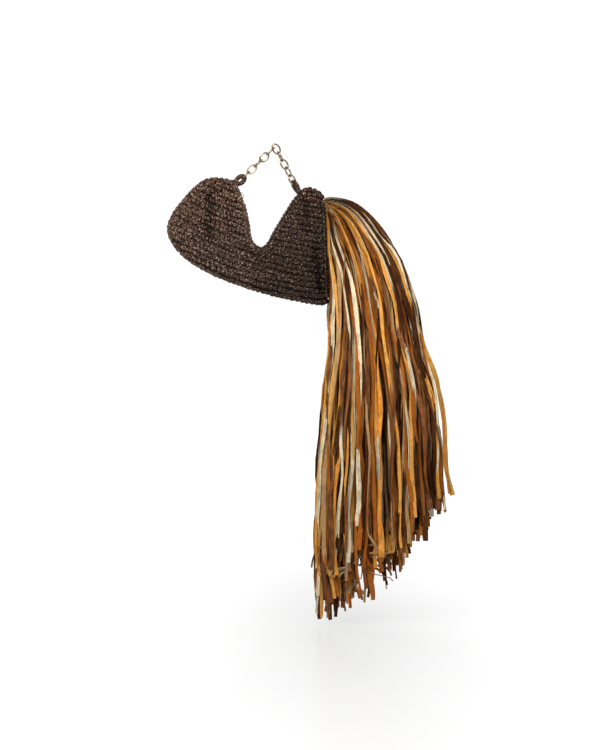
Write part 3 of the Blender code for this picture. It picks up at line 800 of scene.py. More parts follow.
def add_stitch_row(yarn, form, surface, line, settings, rng, shift):
    """One row of stitches along a line on the cloth."""
    centres, along, widths = stations(line, mm(settings.stitch_width), shift)
    out = on_cloth(surface, centres)[1]
    along = square_to(along, out)
    up = np.cross(out, along)
    pitch = mm(settings.row_pitch)
    heights = np.minimum(pitch / np.maximum(np.abs(up[:, 2]), STEEPEST_ROW), TALLEST_STITCH * pitch)
    ridge = smooth_step((centres[:, 0] - RIDGES_FROM_X) / RIDGES_OVER)
    # Painted shade in the folds, given as a lower rise
    shade = CREASE_SHADE * form.painted_fold_shade(centres[:, ::2])[:, None]
    jitter = STITCH_JITTER - RIDGE_CALM * ridge
    for lobe in (STITCH_LEFT, STITCH_RIGHT, STITCH_BAR):
        lines, normals, radii, rise = lay_lobes(
            surface, centres, along, out, lobe, widths, heights, yarn_scale(settings), rng, jitter
        )
        # Sunk bars are thinner, and their lower rise gives them painted shade
        if lobe is STITCH_BAR:
            sink = BAR_SINK * (1.0 - ridge)[:, None]
            lines = lines - sink[..., None] * normals
            radii, rise = radii * (1.0 - BAR_THINNING * sink), rise - sink
        yarn.add(lines, normals, radii, rise - shade)


def build_stitches(settings, cloth):
    """The rows of stitches on each face, and a row along the closed edges."""
    form = PouchForm(CLOTH_INSET)
    surface = cloth_surface(cloth)
    rng = np.random.default_rng(21)
    pieces = []
    for side, name in ((-1, "stitches_front"), (1, "stitches_back")):
        yarn = Yarn()
        rows = [
            (strip, ROW_STAGGER * (number % 2))
            for number in ROW_NUMBERS for strip in face_strips(form, number, mm(settings.row_pitch))
        ]
        rows += [(inset_line(closed, CLOSED_ROW_INSET)[1:-1], 0.0) for closed in (form.left, form.top)]
        for row, shift in rows:
            add_stitch_row(yarn, form, surface, form.on_face(row, side)[:: -side], settings, rng, shift)
        pieces.append(yarn.build(name, yarn_material(settings)))
    return pieces


def build_edgings(settings, cloth):
    """Thick yarn along the mouth's two lips and the closed edges, and the raised column beside the fringe."""
    form = PouchForm(CLOTH_INSET)
    surface = cloth_surface(cloth)
    rng = np.random.default_rng(22)
    scale = yarn_scale(settings)
    rims, borders = Yarn(), Yarn()
    for side in (-1, 1):
        lip = form.on_face(even_steps(form.mouth, FINE_STEP), side)[:: -side]
        for row in LIP_ROWS:
            centres, along, widths = stations(lip, row.spacing)
            into_cloth = unit_rows(np.cross(-side * FRONT, along))
            out = unit_rows(-side * FRONT - row.lean * into_cloth)
            centres = centres + (1.0 - row.lean) * LIP_ROW_APART * into_cloth
            rims.add(*lay_lobes(
                None, centres, along, out, row.lobe, widths, LIP_HEIGHT, scale, rng, NEAT_JITTER
            ))
        column = inset_line(even_steps(form.side, FINE_STEP), COLUMN_INSET)[2:-2]
        centres, along, widths = stations(form.on_face(column, side)[:: -side], COLUMN_SPACING)
        out = on_cloth(surface, centres)[1]
        along = square_to(along, out)
        borders.add(*lay_lobes(
            surface, centres, along, out, BORDER_LOBE, widths, COLUMN_HEIGHT, scale, rng, NEAT_JITTER
        ))
    for closed in (form.left, form.top):
        flat = even_steps(closed, FINE_STEP)
        line = np.stack([flat[:, 0], middle_sway(flat), flat[:, 1]], axis=1)
        centres, along, widths = stations(line, mm(settings.row_pitch))
        out = unit_rows(np.cross(along, FRONT))
        rims.add(*lay_lobes(
            None, centres, along, out, EDGE_BUMP, widths, CLOSED_EDGE_HEIGHT, scale, rng, EDGE_JITTER
        ))
    ones = np.ones((1, len(CURL)))
    rims.add(np.array([CURL]), ones[..., None] * FRONT, ones * CURL_RADIUS, ones * CURL_RISE)
    material = yarn_material(settings)
    return [rims.build("rim_edging", material), borders.build("side_border", material)]


# The chain and its two yarn loops
WIRE_RADIUS = 1.35
LINK_HALF_LENGTH = 8.6
LINK_HALF_WIDTH = 5.7
LINK_PLAY = 0.3
LINK_PITCH = 2 * LINK_HALF_LENGTH - 2 * WIRE_RADIUS - LINK_PLAY
LINK_CORNERS = 56
WIRE_STEPS = 5
TOP_LINK_CENTRE = np.array((2.06, 0.0, -6.6))
TOP_LINK_LEAN = math.radians(28.6)
TOP_LINK_AXIS = np.array((math.sin(TOP_LINK_LEAN), 0.0, -math.cos(TOP_LINK_LEAN)))
LEFT_RUN_START = np.array((-1.2, 0.0, -4.6))
LEFT_RUN_AIM = np.array((-58.0, 0.0, -58.9))
LEFT_RUN_ROLLS = (94.0, 4.0, 86.0, -6.0, 92.0)
RIGHT_RUN_START = TOP_LINK_CENTRE + (LINK_HALF_LENGTH - 2 * WIRE_RADIUS - LINK_PLAY) * TOP_LINK_AXIS
RIGHT_RUN_AIM = np.array((31.3, 0.0, -63.2))
RIGHT_RUN_ROLLS = (-78.0, 24.0, -58.0, 36.0)
YarnLoop = namedtuple("YarnLoop", "name half_length half_width cord_radius roll inset axis root")
LEFT_LOOP = YarnLoop("loop_left", 7.9, 5.1, 2.9, 6.0, 4.7, (-0.78, 0.0, -0.626), (-65.5, 0.0, -63.5))
RIGHT_LOOP = YarnLoop("loop_right", 9.5, 5.0, 2.45, -54.0, 4.8, (0.47, 0.0, -0.883), (41.0, 0.0, -79.0))
# Each loop has plies wound round its oval, and legs from it to its root in the cloth
LOOP_PLIES = 3
LOOP_WINDS = 5
LOOP_POINTS = 97
LOOP_CORNERS = 8
LOOP_TWIST = 0.22
LOOP_BULK = 1.38
PLY_SHARE = 0.7
LEG_APART = 1.9
LEG_SPREAD = 3.4
LEG_BOW = 0.8
LEG_BOW_DEPTH = 0.7
LEG_DIG = 0.35
# How the painted shade in the yarn's gaps follows from the distance to the oval
LOOP_RISE, LOOP_RISE_FROM, LOOP_RISE_MOST = 2.4, 1.6, 2.0


def oval_frame(axis, roll_degrees):
    """The oval's long direction, its short direction turned by the roll, and its normal."""
    axis = np.array(axis) / np.linalg.norm(axis)
    roll = math.radians(roll_degrees)
    across = unit_rows(np.array((-axis[2], 0.0, axis[0])))
    short = math.cos(roll) * across - math.sin(roll) * FRONT
    return axis, short, np.cross(axis, short)


def chain_run(start, aim, rolls):
    """Centre, axis and roll of each link of a straight run, and the place of its last wire."""
    axis = (aim - start) / np.linalg.norm(aim - start)
    centres = [start + (LINK_HALF_LENGTH + k * LINK_PITCH) * axis for k in range(len(rolls))]
    return [(c, axis, r) for c, r in zip(centres, rolls)], centres[-1] + LINK_HALF_LENGTH * axis


def chain_rows():
    """Each link's centre, axis and roll from left to right, and the chain's two end wires."""
    left, left_wire = chain_run(LEFT_RUN_START, LEFT_RUN_AIM, LEFT_RUN_ROLLS)
    right, right_wire = chain_run(RIGHT_RUN_START, RIGHT_RUN_AIM, RIGHT_RUN_ROLLS)
    return left[::-1] + [(TOP_LINK_CENTRE, TOP_LINK_AXIS, 0.0)] + right, left_wire, right_wire


def build_link(number, centre, axis, roll, material):
    """One link: a ring drawn as an oval, given its wire and turned into place."""
    bpy.ops.object.select_all(action="DESELECT")
    bpy.ops.mesh.primitive_circle_add(vertices=LINK_CORNERS, radius=MM)
    link = bpy.context.object
    bpy.ops.object.mode_set(mode="EDIT")
    bpy.ops.transform.resize(value=(LINK_HALF_LENGTH, LINK_HALF_WIDTH, 1.0))
    bpy.ops.object.mode_set(mode="OBJECT")
    bpy.ops.object.convert(target="CURVE")
    link.data.bevel_depth = WIRE_RADIUS * MM
    link.data.bevel_resolution = WIRE_STEPS
    bpy.ops.object.convert(target="MESH")
    link = bpy.context.object
    turn = Matrix(np.stack(oval_frame(axis, roll), axis=1).tolist()).to_4x4()
    link.matrix_world = Matrix.Translation(Vector(centre) * MM) @ turn
    bpy.ops.object.transform_apply(location=True, rotation=True, scale=True)
    face_outwards(link, bpy.ops.mesh.remove_doubles, threshold=1e-6)
    link.name = link.data.name = f"chain_link_{number:02d}"
    link.data.materials.clear()
    link.data.materials.append(material)
    smooth_by_angle(link, 60)
    return link


def build_yarn_loop(loop, wire, settings):
    """A loop of crocheted cord: plies of yarn wound round an oval, and legs down to the cloth."""
    long, short, normal = oval_frame(loop.axis, loop.roll)
    centre = wire + (loop.half_length - loop.inset) * long
    yarn = PLY_SHARE * loop.cord_radius
    bulk = LOOP_BULK * loop.cord_radius
    angles = np.linspace(0.0, TURN, LOOP_POINTS)
    oval = centre + loop.half_length * np.cos(angles)[:, None] * long
    oval = oval + loop.half_width * np.sin(angles)[:, None] * short
    outward = unit_rows(oval - centre)
    plies = []
    for ply in range(LOOP_PLIES):
        wind = LOOP_WINDS * angles + TURN * ply / LOOP_PLIES
        plies.append(oval + (bulk - yarn) * (
            np.cos(wind)[:, None] * outward + np.sin(wind)[:, None] * normal
        ))
    root = np.array(loop.root)
    start = oval[np.argmin(np.linalg.norm(oval - root, axis=1))]
    aside = unit_rows(np.cross(root - start, -FRONT))
    along = np.linspace(0.0, 1.0, len(oval))[:, None]
    for side in (-1, 0, 1):
        foot = root + side * LEG_SPREAD * aside + LEG_DIG * (root - start)
        bow = np.sin(np.pi * along) * (side * LEG_BOW * aside - LEG_BOW_DEPTH * side * FRONT)
        plies.append(start + side * LEG_APART * aside + along * (foot - start) + bow)
    lines = np.array(plies)
    section = round_section(np.full(lines.shape[:2], yarn), LOOP_CORNERS)
    points, faces = sweep(lines, np.broadcast_to(normal, lines.shape), section)
    uv = tube_uv(lines, LOOP_CORNERS, LOOP_TWIST)
    piece = mesh_piece(f"yarn_{loop.name}", points, faces, yarn_material(settings), uv)
    spread = np.linalg.norm(points.reshape(*section.shape[:3], 3) - oval[None, :, None], axis=-1)
    # Painted shade on the plies, deepest where the yarn is nearest the oval
    add_values(piece, "rise", np.minimum(LOOP_RISE * spread - LOOP_RISE_FROM * yarn, LOOP_RISE_MOST))
    smooth_by_angle(piece, 75)
    return piece


# The fringe is a fan: share 0 of it falls beside the pouch, and share 1 is its outer edge. At each stop of
# the arc, a ribbon of share 1 has run this far, and lies this far out from its root and above it
ArcStop = namedtuple("ArcStop", "reach out rise sway")
TOP_ARC = (
    ArcStop(10.5, 10.5, 2.0, 0.0), ArcStop(44.0, 43.0, -5.0, 0.5), ArcStop(74.0, 68.0, -23.0, 1.0),
    ArcStop(114.0, 92.0, -55.0, 1.0), ArcStop(170.0, 122.5, -102.5, 0.6), ArcStop(245.0, 146.5, -171.0, 0.2),
)
ARC_OUT = TOP_ARC[-1].out
ARC_SWAY = 0.05
STEEP_FALL = 95.0
ROOT_DIG, ROOT_STAND = 0.3, 1.6
OUTER_EDGE_SHARE = 0.97
# Below the arc the fan's two edges, at heights, and the share of a ribbon's fall at each of its stops
FALL_Z = (-790.0, -680.0, -500.0, -420.0, -330.0)
FALL_INNER = (76.0, 69.0, 75.0, 81.0, 90.0)
FALL_OUTER = (282.0, 277.0, 269.0, 263.0, 249.0)
FALL_STOPS = (0.10, 0.24, 0.40, 0.56, 0.72, 0.86, 0.95, 1.0)
LEAD_OVER = 160.0
DRIFT_SPEED = 1.4
RIBBON_STEPS = 3
# The fan's depth: at its roots, at its middle, and how much thinner it is at its two edges
ROOT_HALF_DEPTH, FAN_HALF_DEPTH, FAN_THINNING = 8.0, 36.0, 0.55
# Heights of the tips over the fan's shares, for all ribbons and for the front hem
TIP_SHARE = (0.0, 0.05, 0.24, 0.42, 0.51, 0.61, 0.66, 0.73, 0.83, 0.93, 1.0)
TIP_Z = (-776.0, -783.0, -758.0, -754.0, -740.0, -722.0, -698.0, -662.0, -654.0, -612.0, -606.0)
FRONT_HEM_SHARE = (0.0, 0.2, 0.3, 0.45, 0.73, 0.93, 1.0)
FRONT_HEM_Z = (-715.0, -676.0, -634.0, -650.0, -636.0, -600.0, -585.0)
SIDE_LOW, SIDE_TOP = np.array(FRINGED_SIDE)
FAN_CENTRE_Z = -260.0
# Distances along a ribbon, and how far it stays off the pouch's side there
SIDE_CLEARANCE = ((0.0, 12.0, 34.0), (-0.3, 1.6, 4.0))
SIDE_BELOW = 6.0
Wave = namedtuple("Wave", "size length axis")
WAVES = (Wave(2.6, 250.0, 0), Wave(0.9, 110.0, 0), Wave(3.0, 260.0, 1), Wave(1.2, 120.0, 1))
WAVE_SIZES = (0.3, 1.5)
WAVES_GROW = 160.0

# How each ribbon leaves its root and ends
PLAIN_OVER = 60.0
Ribbon = namedtuple(
    "Ribbon", "root_z share drift layer tip emerge bend_x bend_y over", defaults=(0.0, 0.0, PLAIN_OVER)
)
OUTER_ROOTS, OUTER_ROOTS_CROWD, OUTER_ROOTS_RISE = 46.0, 1.3, 0.8
INNER_ROOTS = 0.6
ROOT_SPREAD, ROOT_MARGIN = 1.5, 1.0
DRIFT, DRIFT_MOST = 0.07, 0.17
TIP_SPREAD, TIP_LIFT = 16.0, (-0.4, 2.0)
PLAIN_BEND = 4.0
HEM_CHANCE, HEM_SPREAD, HEM_DROP = 0.88, 15.0, 0.6
EMERGE = (120.0, 380.0)
# Tangled ends at the fan's low middle, duller than the rest of the fringe
TANGLE_SHARES = (0.26, 0.62)
TANGLE_CHANCE_OUTER, TANGLE_CHANCE_INNER = 0.65, 0.85
TANGLE_LIFT = 88.0
TANGLE_BEND, TANGLE_BEND_MOST = 27.0, 42.0
TANGLE_FORWARD = (-6.0, 14.0)
TANGLE_OVER = (28.0, 62.0)
TANGLE_DYES = {"amber": "tan"}
BEND_POWER, BEND_RISE = 1.6, 0.45
THIN_BEND, THIN_SHARE = 9.0, 0.55

# A flat ribbon's pleats, from edge to edge
PLEAT_ACROSS = np.array((-0.5, -0.18, 0.2, 0.5))
PLEAT_RISE = np.array((0.0, 1.0, -0.55, 0.5))
PLEATS = (0.2, 0.9)
PLEAT_WAVE, PLEAT_WAVE_OVER = 0.5, 37.0
CURL_SPREAD = 1.1
# Its face's turn in degrees and the swing of that turn as it falls, and how its width opens and ripples
TURN_SPREAD, SWING, SWING_LENGTH = 26.0, (10.0, 50.0), (180.0, 420.0)
TURN_GROWS = 110.0
WIDTHS = (0.5, 1.4)
ROOT_OPENED, OPENS_OVER = 0.5, (120.0, 380.0)
RIPPLE, RIPPLE_LENGTH = 0.2, (60.0, 160.0)
PHASES = (0.0, 6.28)
# Where its fibres are read: clear of its two edges, and at this many units for each metre along it
FIBRE_MARGIN, FIBRES_PER_METRE, FIBRES_SHIFT = 0.02, 10.0, (0.0, 50.0)

# How much of each dye the fan holds over its shares
DyeMix = namedtuple("DyeMix", "share amber rust straw tan brown dark")
OUTER_MIX = (
    DyeMix(0.0, 0.31, 0.20, 0.18, 0.05, 0.14, 0.12),
    DyeMix(0.3, 0.34, 0.20, 0.17, 0.04, 0.14, 0.11),
    DyeMix(0.6, 0.26, 0.25, 0.12, 0.05, 0.17, 0.15),
    DyeMix(0.85, 0.11, 0.23, 0.03, 0.04, 0.25, 0.34),
    DyeMix(1.0, 0.14, 0.24, 0.0, 0.04, 0.26, 0.32),
)
INNER_MIX = (
    DyeMix(0.0, 0.17, 0.25, 0.04, 0.06, 0.27, 0.21),
    DyeMix(0.5, 0.12, 0.23, 0.07, 0.19, 0.24, 0.15),
    DyeMix(1.0, 0.08, 0.23, 0.01, 0.06, 0.30, 0.32),
)
# Layers run from -1 at the fan's front to 1 at its back. The outer ones have fewer ribbons and a higher hem
OUTER_FROM, THINNED_FROM, THINNED_SHARE = 0.45, 0.7, 0.7
DEEPEST_LAYER = 1.05
# How much chance there is in a ribbon's dye, its place in its layer and its layer's place
FIRST_OWED, DYE_CHANCE = (-0.4, 0.4), 0.5
OWN_PLACE, OWN_LAYER = (0.2, 0.8), (-0.6, 0.6)
# Painted light and shade on the ribbons: darker behind others, where they are packed at the root, and low
# down, and lighter below the front hem
LAYER_LIGHT = ((0.0, 0.5, 0.8, 1.0), (0.45, 0.60, 1.12, 1.35))
BELOW_HEM_LIGHT, BELOW_HEM, BELOW_HEM_OVER = 1.4, 12.0, 40.0
ROOT_LIGHT, ROOT_SHADE_OVER = 0.40, 105.0
LOW_LIGHT, LOW_FROM, LOW_OVER = 0.76, 220.0, 260.0
# Ribbons that stand out in the real fringe, placed one by one
STRAYS = (
    ("amber", Ribbon(-92.0, 0.98, 0.09, -0.85, -578.0, 200.0, 2.0)),
    ("straw", Ribbon(-93.0, 0.94, 0.07, -0.8, -602.0, 160.0, 4.0)),
    ("tan", Ribbon(-92.0, 0.96, 0.05, -0.5, -608.0, 180.0, 6.0)),
    ("dark", Ribbon(-96.0, 0.86, 0.0, -0.9, -652.0, 180.0, 2.0, 0.0, 50.0)),
    ("straw", Ribbon(-130.0, 0.02, -0.03, -0.3, -652.0, 180.0, -2.0)),
    ("straw", Ribbon(-91.0, 0.80, 0.0, -0.98, -545.0, 110.0)),
    ("straw", Ribbon(-91.0, 0.90, -0.03, -0.9, -455.0, 120.0)),
    ("straw", Ribbon(-93.0, 0.73, 0.0, -1.0, -620.0, 110.0)),
    ("dark", Ribbon(-90.5, 0.99, 0.0, -0.6, -590.0, 100.0)),
    ("brown", Ribbon(-90.5, 0.97, 0.0, -0.8, -600.0, 100.0)),
    ("dark", Ribbon(-91.0, 0.95, 0.01, -0.9, -570.0, 100.0)),
    ("straw", Ribbon(-108.0, 0.30, 0.02, -1.02, -628.0, 170.0, -3.0)),
    ("amber", Ribbon(-112.0, 0.08, 0.02, -1.0, -686.0, 150.0, 3.0)),
    ("brown", Ribbon(-104.0, 0.19, 0.02, -1.04, -670.0, 110.0, 2.0)),
    ("dark", Ribbon(-101.0, 0.21, 0.0, -1.0, -640.0, 100.0, -2.0)),
    ("dark", Ribbon(-91.5, 0.89, 0.0, -1.04, -575.0, 110.0, 2.0)),
    ("brown", Ribbon(-92.0, 0.84, 0.01, -1.02, -610.0, 110.0, -2.0)),
    ("dark", Ribbon(-92.5, 0.79, 0.02, -1.03, -628.0, 120.0, 3.0)),
    ("dark", Ribbon(-91.0, 0.93, -0.01, -1.03, -588.0, 120.0, 2.0)),
    ("amber", Ribbon(-92.5, 0.98, 0.09, -0.8, -575.0, 190.0, 1.0)),
)


def side_x(z):
    return np.interp(z, (SIDE_LOW[1], SIDE_TOP[1]), (SIDE_LOW[0], SIDE_TOP[0]))


def clear_of_side(x, z, along):
    """Keeps ribbons beside the pouch and not in front of it."""
    least = side_x(z) + np.interp(along, *SIDE_CLEARANCE)
    return np.where(z > SIDE_LOW[1] - SIDE_BELOW, np.maximum(x, least), x)


def ribbon_lines(ribbons, rng):
    """Smooth lines of many ribbons: out from the root over the arc, then down to the tip."""
    share, layer = ribbons.share, ribbons.layer
    count = len(share)
    root_x = side_x(ribbons.root_z) - ROOT_DIG
    stops_x, stops_z, along = [root_x], [ribbons.root_z], [np.zeros(count)]
    sway = rng.normal(0.0, ARC_SWAY, count)
    for stop in TOP_ARC:
        at = np.minimum(np.clip(share + stop.sway * sway, 0.0, 1.0), np.maximum(share, OUTER_EDGE_SHARE))
        stops_x.append(root_x + ROOT_STAND + at * stop.out)
        stops_z.append(ribbons.root_z + at * stop.rise - (1.0 - at) * STEEP_FALL * stop.out / ARC_OUT)
        along.append(ROOT_STAND + share * stop.reach + (1.0 - share) * STEEP_FALL * stop.out / ARC_OUT)
    arc_x, arc_z, arc_along = stops_x[-1], stops_z[-1], along[-1]
    for part in FALL_STOPS:
        z = arc_z + part * (ribbons.tip - arc_z)
        at = share + ribbons.drift * smooth_step(part * DRIFT_SPEED)
        inner = np.interp(z, FALL_Z, FALL_INNER)
        fan = inner + at * np.interp(z, FALL_Z, np.subtract(FALL_OUTER, FALL_INNER))
        lead = 1.0 - (1.0 - np.clip((arc_z - z) / LEAD_OVER, 0.0, 1.0)) ** 2
        stops_x.append(arc_x + (fan - arc_x) * lead)
        stops_z.append(z)
        along.append(arc_along + arc_z - z)
    x, z, along = (np.array(v).T for v in (stops_x, stops_z, along))
    x = clear_of_side(x, z, along)
    root_y = layer * ROOT_HALF_DEPTH
    half = FAN_HALF_DEPTH * np.sqrt(1.0 - FAN_THINNING * (2.0 * share.clip(0.0, 1.0) - 1.0) ** 2)
    emerged = smooth_step(along / ribbons.emerge[:, None])
    y = root_y[:, None] + (layer * half - root_y)[:, None] * emerged
    lines = catmull_rom(np.stack([x, y, z], axis=2), RIBBON_STEPS)
    reach = run_lengths(lines)
    loose = smooth_step(reach / WAVES_GROW)
    for wave in WAVES:
        phase = rng.uniform(0.0, TURN, (count, 1))
        size = wave.size * rng.uniform(*WAVE_SIZES, (count, 1))
        lines[..., wave.axis] += loose * size * np.sin(TURN * reach / wave.length + phase)
    lines[..., 0] = clear_of_side(lines[..., 0], lines[..., 2], reach)
    return lines, reach


def ribbon_section(width, pleat, curl, thickness):
    """A flat ribbon's section with lengthwise pleats: four corners on its face and four on its back."""
    rise = pleat[..., None] * PLEAT_RISE + curl[..., None] * np.abs(PLEAT_ACROSS)
    rows = np.stack([width[..., None] * PLEAT_ACROSS, rise], axis=-1)
    back = rows[..., ::-1, :].copy()
    back[..., 1] -= thickness
    return np.concatenate([back, rows], axis=-2)[..., ::-1, :]


def ribbon_faces(reach, rng):
    """The way each ribbon's face turns as it falls."""
    count = len(reach)
    start = rng.normal(0.0, TURN_SPREAD, (count, 1))
    swing = rng.uniform(*SWING, (count, 1)) * np.sin(
        TURN * reach / rng.uniform(*SWING_LENGTH, (count, 1)) + rng.uniform(*PHASES, (count, 1))
    )
    turn = np.radians(start + swing) * smooth_step(reach / TURN_GROWS)
    return np.stack([np.sin(turn), -np.cos(turn), np.zeros_like(turn)], axis=-1)


def ribbon_painted_light(ribbons, lines, reach):
    """The painted light and shade at each point of each ribbon's line: how much light reaches it."""
    light = np.interp(np.abs(ribbons.layer[:, None]), *LAYER_LIGHT)
    hem = np.interp(ribbons.share + ribbons.drift, FRONT_HEM_SHARE, FRONT_HEM_Z)[:, None]
    below = smooth_step((hem + BELOW_HEM - lines[..., 2]) / BELOW_HEM_OVER)
    light = light + (BELOW_HEM_LIGHT - light) * below
    shade = 1.0 - (1.0 - ROOT_LIGHT) * smooth_step(1.0 - reach / ROOT_SHADE_OVER)
    shade = shade * (1.0 - (1.0 - LOW_LIGHT) * smooth_step((reach - LOW_FROM) / LOW_OVER))
    return light * shade


def build_ribbons(name, ribbons, dye, settings, seed, first):
    """Ribbons of one dye as one mesh."""
    rng = np.random.default_rng(seed)
    lines, reach = ribbon_lines(ribbons, rng)
    count = len(lines)
    bend_x, bend_y, over = (v[:, None] for v in (ribbons.bend_x, ribbons.bend_y, ribbons.over))
    curl_in = smooth_step(1.0 - (reach[:, -1:] - reach) / over)
    lines[..., 0] += bend_x * curl_in ** BEND_POWER
    lines[..., 1] += bend_y * curl_in ** BEND_POWER
    lines[..., 2] += BEND_RISE * np.abs(bend_x) * curl_in ** 2
    facing = ribbon_faces(reach, rng)
    opened = smooth_step(reach / rng.uniform(*OPENS_OVER, (count, 1)))
    opened = ROOT_OPENED + (1.0 - ROOT_OPENED) * opened
    wide = mm(settings.ribbon_width) * rng.uniform(*WIDTHS, (count, 1))
    wide = wide * np.where(np.abs(bend_x) > THIN_BEND, THIN_SHARE, 1.0)
    phase = rng.uniform(*PHASES, (count, 1))
    ripple = 1.0 + RIPPLE * np.sin(TURN * reach / rng.uniform(*RIPPLE_LENGTH, (count, 1)) + phase)
    pleat = rng.uniform(*PLEATS, (count, 1)) * (1.0 + PLEAT_WAVE * np.sin(reach / PLEAT_WAVE_OVER + phase))
    curl = rng.normal(0.0, CURL_SPREAD, (count, 1)) * np.ones_like(reach)
    section = ribbon_section(wide * opened * ripple, pleat, curl, mm(settings.ribbon_thickness))
    points, faces = sweep(lines, facing, section)
    corners = section.shape[-2]
    u = np.concatenate([np.linspace(1.0, 0.0, corners // 2), np.linspace(0.0, 1.0, corners // 2)])
    u = (np.arange(count) + first)[:, None, None] + FIBRE_MARGIN + (1.0 - 2 * FIBRE_MARGIN) * u[None, None]
    v = reach[..., None] * MM * FIBRES_PER_METRE + rng.uniform(*FIBRES_SHIFT, (count, 1, 1))
    uv = np.stack(np.broadcast_arrays(u, v), axis=-1).reshape(-1, 2)
    piece = mesh_piece(name, points, faces, raffia_material(dye), uv)
    # Painted light and shade, kept on each point for the material
    painted_light = ribbon_painted_light(ribbons, lines, reach)
    add_values(piece, "painted_light", np.repeat(painted_light[..., None], corners, axis=-1))
    smooth_by_angle(piece, 40)
    return piece


def draw_dye(mix, share, owed, rng):
    """The dye that the fan is shortest of at this share, with some chance in it, so that dyes are mixed."""
    table = np.array(mix)
    owed += np.array([np.interp(share, table[:, 0], column) for column in table[:, 1:].T])
    pick = int(np.argmax(owed + rng.uniform(0.0, DYE_CHANCE, len(DYES))))
    owed[pick] -= 1.0
    return list(DYES)[pick]


def hanging_ribbon(share, layer, outer, rng):
    """Root, drift, tip and curl of one ribbon at a share of the fan."""
    highest = SIDE_TOP[1] - ROOT_MARGIN
    if outer:
        crowd = rng.random() ** OUTER_ROOTS_CROWD
        root_z = highest - OUTER_ROOTS * crowd * (1.0 - OUTER_ROOTS_RISE * share)
    else:
        own = FAN_CENTRE_Z + share * (SIDE_TOP[1] - FAN_CENTRE_Z)
        root_z = own + (SIDE_TOP[1] - own) * rng.uniform(0.0, INNER_ROOTS)
    root_z = min(max(root_z + rng.normal(0.0, ROOT_SPREAD), SIDE_LOW[1] + 2 * ROOT_MARGIN), highest)
    drift = float(np.clip(rng.normal(0.0, DRIFT), -DRIFT_MOST, DRIFT_MOST))
    drift = min(max(drift, -share), 1.0 - share)
    tip = float(np.interp(share + drift, TIP_SHARE, TIP_Z)) + TIP_SPREAD * rng.uniform(*TIP_LIFT)
    bend_x, bend_y, over = *rng.normal(0.0, PLAIN_BEND, 2), PLAIN_OVER
    if outer and rng.random() < HEM_CHANCE:
        hem = float(np.interp(share + drift, FRONT_HEM_SHARE, FRONT_HEM_Z))
        drop = HEM_DROP * (tip - hem) * rng.uniform(0.0, 1.0) ** 2
        tip = max(tip, hem + drop + rng.normal(0.0, HEM_SPREAD))
    elif (
        TANGLE_SHARES[0] < share + drift < TANGLE_SHARES[1]
        and rng.random() < (TANGLE_CHANCE_OUTER if outer else TANGLE_CHANCE_INNER)
    ):
        tip += rng.uniform(0.0, TANGLE_LIFT)
        bend_x = float(np.clip(rng.normal(0.0, TANGLE_BEND), -TANGLE_BEND_MOST, TANGLE_BEND_MOST))
        bend_y, over = rng.normal(*TANGLE_FORWARD), rng.uniform(*TANGLE_OVER)
    return Ribbon(root_z, share, drift, layer, tip, rng.uniform(*EMERGE), bend_x, bend_y, over)


def fringe_ribbons(settings):
    """Every ribbon, gathered by dye."""
    rng = np.random.default_rng(31)
    found = {name: [] for name in DYES}
    for layer in np.linspace(-1.0, 1.0, settings.layers):
        outer = abs(layer) > OUTER_FROM
        thinned = THINNED_SHARE if abs(layer) > THINNED_FROM else 1.0
        count = round(settings.ribbons_per_layer * thinned)
        owed = rng.uniform(*FIRST_OWED, len(DYES))
        for k in range(count):
            share = (k + rng.uniform(*OWN_PLACE)) / count
            dye = draw_dye(OUTER_MIX if outer else INNER_MIX, share, owed, rng)
            own_layer = layer + rng.uniform(*OWN_LAYER) / settings.layers
            own_layer = float(np.clip(own_layer, -DEEPEST_LAYER, DEEPEST_LAYER))
            ribbon = hanging_ribbon(share, own_layer, outer, rng)
            tangled = ribbon.over != PLAIN_OVER
            found[TANGLE_DYES.get(dye, dye) if tangled else dye].append(ribbon)
    for dye, ribbon in STRAYS:
        found[dye].append(ribbon)
    return {name: Ribbon(*np.array(rows).T) for name, rows in found.items()}


def build_fringe(settings):
    pieces, first = [], 0
    for seed, (dye, ribbons) in enumerate(fringe_ribbons(settings).items(), start=40):
        pieces.append(build_ribbons(f"fringe_{dye}", ribbons, dye, settings, seed, first))
        first += len(ribbons.share)
    return pieces


KNOT_ROWS = 30
KNOT_LANES = 4
KNOT_LANE_PITCH = 4.4
KNOT_STAGGER = 1.4
KNOT_STAND = 0.9
KNOT_POINTS = 9
KNOT_CORNERS = 6
KNOT_ENDS = 2.4  # radians each way
KNOT_SIZE = (0.9, 1.9, 0.5)
KNOT_RADIUS = 0.95
KNOT_FLATTENED = (1.35, 0.8)
KNOT_FACING = (1.0, 0.0, 0.3)
# How much painted light the knots get
KNOT_PAINTED_LIGHT = 0.8
KNOT_LOWEST, KNOT_HIGHEST = 3.0, 2.5  # in from the side's two ends
KNOT_SPREAD_Y, KNOT_SPREAD_Z = 0.3, 0.4
KNOT_TWIST, KNOT_DYE = 0.05, 0.3


